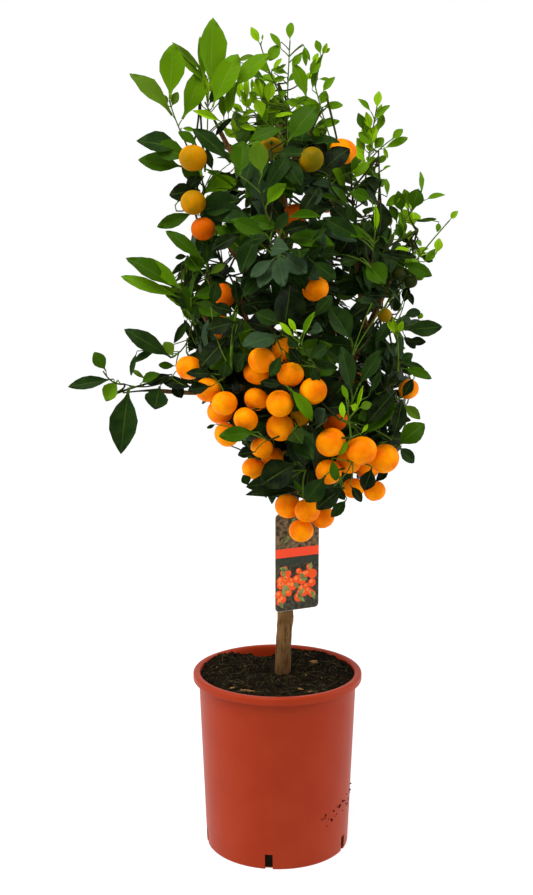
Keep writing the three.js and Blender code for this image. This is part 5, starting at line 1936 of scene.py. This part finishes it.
def make_fruit(look):
    forms = collection_of("fruit_form", [fruit_form("fruit_form_0")])
    sepals = soft_finish("sepals", look.sepals, look.unripe, 0.6)
    peels = {
        "ripe": (look.ripe, look.blush),
        # The deep peel is painted shade.
        "deep": (look.deep, plain_pair(look.deep, look.blush, 0.5)),
        "turning": (look.turning, plain_pair(look.turning, look.ripe, 0.4)),
        "green": (look.unripe, look.turning),
        "young": (look.young, plain_pair(look.young, look.unripe, 0.25)),
    }
    draw = draws(PEEL_SEED)
    for ripeness, (skin, blush) in peels.items():
        rows = []
        for fruit in grown_crown().fruits:
            if fruit.ripeness == ripeness:
                aside = turned_about(across_from(fruit.axis, FRUIT_ASIDE), fruit.axis, draw() * TURN)
                size = fruit.radius * MM * (0.97 + 0.05 * draw())
                turn = turn_of(aside, np.cross(fruit.axis, aside), fruit.axis)
                rows.append((fruit.place, turn, (size, size, size), 0))
        peel = fruit_finish(f"peel_{ripeness}", skin, blush, look.pores)
        piece(f"fruit_{ripeness}", copied("fruit", rows, forms, peel, sepals))


# ---- label


def on_label(across, height, proud):
    """A place on the label's front, in millimetres: across and up from its middle, and proud of its face."""
    x, y, z = LABEL_MIDDLE
    ahead = LABEL_THICKNESS / 2 + proud
    return (
        x + across * math.cos(LABEL_TURN) + ahead * math.sin(LABEL_TURN),
        y + across * math.sin(LABEL_TURN) - ahead * math.cos(LABEL_TURN),
        z + height,
    )


def plate(outlines, low, high):
    """Thin plates on the label, from outlines that run anticlockwise."""
    points, faces = [], []
    for outline in outlines:
        start, count = len(points), len(outline)
        points += [on_label(across, height, low) for across, height in outline]
        points += [on_label(across, height, high) for across, height in outline]
        middle = start + count
        faces += [tuple(reversed(range(start, middle))), tuple(range(middle, middle + count))]
        faces += band(start, middle, count)
    return recalculated(mesh_of("plate", points, faces, smooth=False))


def stacked(outlines, proud, step=0.012):
    """Plates that may overlap, each a little prouder than the last."""
    return joined("stack", [
        plate([outline], proud, proud + 0.04 + index * step) for index, outline in enumerate(outlines)
    ])


def rounded_box(width, height, corner, shift=0.0, steps=6):
    """The outline of a box with round corners, raised by a shift."""
    outline = []
    for x, z, start in ((1, 1, 0), (-1, 1, 90), (-1, -1, 180), (1, -1, 270)):
        centre = (x * (width / 2 - corner), shift + z * (height / 2 - corner))
        outline += list(arc(centre, corner, start, start + 90, steps))
    return outline


def disc(across, height, radius, sides=20):
    return [(across + x, height + z) for x, z in (on_ring(radius, side, sides) for side in range(sides))]


def blade_outline(across, height, length, width, turn, steps=7):
    """The outline of a plain leaf shape."""
    shares = [step / steps for step in range(steps + 1)]
    edge = [(share * length, math.sin(math.pi * share) * width / 2) for share in shares]
    both = [(x, -half) for x, half in edge] + edge[-2:0:-1]
    sine, cosine = math.sin(turn), math.cos(turn)
    return [(across + x * cosine - y * sine, height + x * sine + y * cosine) for x, y in both]


def label_loop(height):
    """The loop by which the label hangs round the trunk, at a height."""
    loop_height, wall = LABEL_LOOP
    share = (height - TRUNK_FOOT[2]) / (TRUNK_FORK[2] - TRUNK_FOOT[2])
    middle = grown_crown().limbs["trunk"].path.at(share)
    inner, half = trunk_radius(share) + 0.6, loop_height / 2
    outer = inner + wall
    points, faces = turned([(inner, -half), (outer, -half), (outer, half), (inner, half), (inner, -half)], 40)
    places = [(x + middle[0], y + middle[1], z + height) for x, y, z in points]
    return recalculated(mesh_of("loop", places, faces, smooth=False))


def make_label(look):
    shape = rounded_box(LABEL_WIDTH, LABEL_HEIGHT, LABEL_CORNER)
    loop = label_loop(LABEL_MIDDLE[2] + LABEL_HEIGHT / 2 + LABEL_NECK)
    card = soft_finish("label_card", look.card, look.ground, 0.4, 30.0, 0.15, 300.0, 0.0001)
    panel = plate([shape], -LABEL_THICKNESS, 0)
    piece("label_card", joined("label_card", (panel, loop)), (card,), ("label",))

    def printed(part, mesh, second, patches, amount, *relief):
        """A piece of the print, in its own colour."""
        ink = soft_finish(f"label_{part}", getattr(look, part), second, 0.32, patches, amount, *relief)
        piece(f"label_{part}", mesh, (ink,))

    low, high = LABEL_BAND
    edge = LABEL_MARGIN / 2
    side, top = LABEL_WIDTH / 2 - edge, LABEL_HEIGHT / 2 - edge

    def stripe(bottom, height):
        """The outline of a stripe across the print."""
        return [(-side, bottom), (side, bottom), (side, height), (-side, height)]

    face = rounded_box(LABEL_WIDTH - LABEL_MARGIN, LABEL_HEIGHT - LABEL_MARGIN, LABEL_CORNER - edge)
    upper = rounded_box(LABEL_WIDTH - LABEL_MARGIN, top - low, LABEL_CORNER - edge, (top + low) / 2)
    printed("ground", plate([face], 0.02, 0.1), look.patch, 260.0, 0.7)
    printed("upper", plate([upper], 0.12, 0.2), look.ground, 240.0, 1.0)
    printed("band", plate([stripe(low, high)], 0.22, 0.22 + 0.08), look.discs, 30.0, 0.15, 300.0, 0.0001)
    printed("strip", plate([stripe(low - LABEL_STRIP, low)], 0.12, 0.2), look.ground, 200.0, 0.4)
    draw = draws(LABEL_SEED)
    discs, glow, leaves = [], [], []
    reach, floor_at, ceiling = side - 4.5, -top + 12, low - LABEL_STRIP - 6
    for bunch in range(LABEL_BUNCHES):
        along = (bunch * GOLDEN_TURN / TURN + 0.2 * draw()) % 1
        middle = (reach * (2 * along - 1), floor_at + (ceiling - floor_at) * (bunch + draw()) / LABEL_BUNCHES)
        for _ in range(3):
            turn, away = draw() * TURN, 7 * draw() + 2
            radius = 3.4 + 2.4 * draw()
            across = min(reach, max(-reach, middle[0] + away * math.cos(turn)))
            height = min(ceiling, max(floor_at, middle[1] + away * math.sin(turn)))
            discs.append(disc(across, height, radius))
            glow.append(disc(across - 0.25 * radius, height + 0.3 * radius, radius * 0.45))
        leaves.append(blade_outline(*middle, 9 + 6 * draw(), 5, draw() * TURN))
    for _ in range(LABEL_BUNCHES):
        across, height = (reach - 6) * (2 * draw() - 1), high + 10 + (top - high - 20) * draw()
        leaves.append(blade_outline(across, height, 6 + 4 * draw(), 3, draw() * TURN))
    printed("discs", stacked(discs, 0.24), look.band, 120.0, 0.5)
    printed("glow", plate(glow, 0.62, 0.66), look.discs, 200.0, 0.4)
    printed("leaves", plate(leaves, 0.7, 0.74), look.ground, 120.0, 0.5)


# ---- stage


def area_light(name, place, size, power):
    """A soft light that faces the plant's middle."""
    data = bpy.data.lights.new(name, "AREA")
    data.shape = "RECTANGLE"
    data.size, data.size_y = size
    data.energy = power
    made = linked(name, data)
    made.location = place
    made.rotation_euler = (Vector(LIT_PLACE) - Vector(place)).to_track_quat("-Z", "Y").to_euler()


def make_stage(look):
    """A pale bowl that is brightest behind the plant, soft lights and the camera."""
    scene = bpy.context.scene
    bend = arc((BOWL.reach - BOWL.bend, BOWL.bend), BOWL.bend, -90, 0, 16)
    profile = [(0.0, 0.0), (1.0, 0.0), *bend, (BOWL.reach, BOWL.height)]
    floor = linked("floor", mesh_of("floor", *turned(profile, BOWL.sides), 1.0))
    backdrop, tree, shader, place = finish("floor", 0.9, 0.1)
    ahead = add(tree, "ShaderNodeSeparateXYZ", {"Vector": place}).outputs["Y"]
    glow = mixed(tree, ranged(tree, ahead, *GLOW_RANGE), look.front_glow, look.back_glow)
    tree.links.new(glow, shader.inputs["Emission Color"])
    shader.inputs["Emission Strength"].default_value = 1.0
    shader.inputs["Base Color"].default_value = look.floor
    floor.data.materials.append(backdrop)
    scene.world = bpy.data.worlds.new("studio")
    scene.world.use_nodes = True
    sky = scene.world.node_tree.nodes["Background"].inputs
    sky["Color"].default_value = (1, 1, 1, 1)
    sky["Strength"].default_value = SKY_STRENGTH
    area_light("left_box", (-2.6, -0.6, 1.6), (1.4, 2.4), look.left)
    area_light("right_box", (2.6, -0.3, 1.4), (1.4, 2.4), look.right)
    area_light("top_box", (-0.5, -1.3, 3.0), (1.8, 1.8), look.top)
    camera = linked("camera", bpy.data.cameras.new("camera"))
    camera.data.lens = look.lens
    camera.location = look.camera
    camera.rotation_euler = (math.pi / 2 - look.pitch, 0, 0)
    scene.camera = camera
    scene.view_settings.view_transform = "Standard"


# ---- operators, panel


class PlantOperator:
    """What the operators share: each makes its pieces from its own settings."""

    bl_options = {"REGISTER", "UNDO"}

    def execute(self, context):
        self.make(getattr(context.scene.calamondin, self.settings))
        return {"FINISHED"}


class CALAMONDIN_OT_pot(PlantOperator, bpy.types.Operator):
    """Make the pot"""

    bl_idname = "calamondin.pot"
    bl_label = "Pot"
    settings = "pot"
    make = staticmethod(make_pot)


class CALAMONDIN_OT_compost(PlantOperator, bpy.types.Operator):
    """Fill the pot with compost and strew its litter"""

    bl_idname = "calamondin.compost"
    bl_label = "Compost"
    settings = "compost"
    make = staticmethod(make_compost)


class CALAMONDIN_OT_bark(PlantOperator, bpy.types.Operator):
    """Make the trunk and the boughs"""

    bl_idname = "calamondin.bark"
    bl_label = "Trunk and boughs"
    settings = "bark"
    make = staticmethod(make_bark)


class CALAMONDIN_OT_twigs(PlantOperator, bpy.types.Operator):
    """Make the brown and the green twigs"""

    bl_idname = "calamondin.twigs"
    bl_label = "Twigs"
    settings = "foliage"
    make = staticmethod(make_twigs)


class CALAMONDIN_OT_leaves(PlantOperator, bpy.types.Operator):
    """Make the leaves, a piece for each tint"""

    bl_idname = "calamondin.leaves"
    bl_label = "Leaves"
    settings = "foliage"
    make = staticmethod(make_leaves)


class CALAMONDIN_OT_fruit(PlantOperator, bpy.types.Operator):
    """Make the fruit, a piece for each ripeness"""

    bl_idname = "calamondin.fruit"
    bl_label = "Fruit"
    settings = "fruit"
    make = staticmethod(make_fruit)


class CALAMONDIN_OT_label(PlantOperator, bpy.types.Operator):
    """Make the hanging label"""

    bl_idname = "calamondin.label"
    bl_label = "Label"
    settings = "label"
    make = staticmethod(make_label)


class CALAMONDIN_OT_stage(PlantOperator, bpy.types.Operator):
    """Make the floor, the light and the camera"""

    bl_idname = "calamondin.stage"
    bl_label = "Stage"
    settings = "stage"
    make = staticmethod(make_stage)


OPERATORS = (
    CALAMONDIN_OT_pot,
    CALAMONDIN_OT_compost,
    CALAMONDIN_OT_bark,
    CALAMONDIN_OT_twigs,
    CALAMONDIN_OT_leaves,
    CALAMONDIN_OT_fruit,
    CALAMONDIN_OT_label,
    CALAMONDIN_OT_stage,
)


class CALAMONDIN_PT_plant(bpy.types.Panel):
    """The plant's pieces and their settings"""

    bl_label = "Potted calamondin"
    bl_idname = "CALAMONDIN_PT_plant"
    bl_space_type = "VIEW_3D"
    bl_region_type = "UI"
    bl_category = "Calamondin"

    def draw(self, context):
        plant = context.scene.calamondin
        for kind in OPERATORS:
            box = self.layout.box()
            box.operator(kind.bl_idname)
            look = getattr(plant, kind.settings)
            for name in look.__annotations__:
                box.prop(look, name)


SETTINGS = (
    PotSettings,
    CompostSettings,
    BarkSettings,
    FoliageSettings,
    FruitSettings,
    LabelSettings,
    StageSettings,
    PlantSettings,
)


def register():
    for kind in (*SETTINGS, *OPERATORS, CALAMONDIN_PT_plant):
        bpy.utils.register_class(kind)
    plant = PointerProperty(type=PlantSettings, name="Calamondin", description="The potted plant")
    bpy.types.Scene.calamondin = plant


def unregister():
    del bpy.types.Scene.calamondin
    for kind in reversed((*SETTINGS, *OPERATORS, CALAMONDIN_PT_plant)):
        bpy.utils.unregister_class(kind)


def main():
    register()
    for kind in OPERATORS:
        group, name = kind.bl_idname.split(".")
        getattr(getattr(bpy.ops, group), name)()


if __name__ == "__main__":
    main()
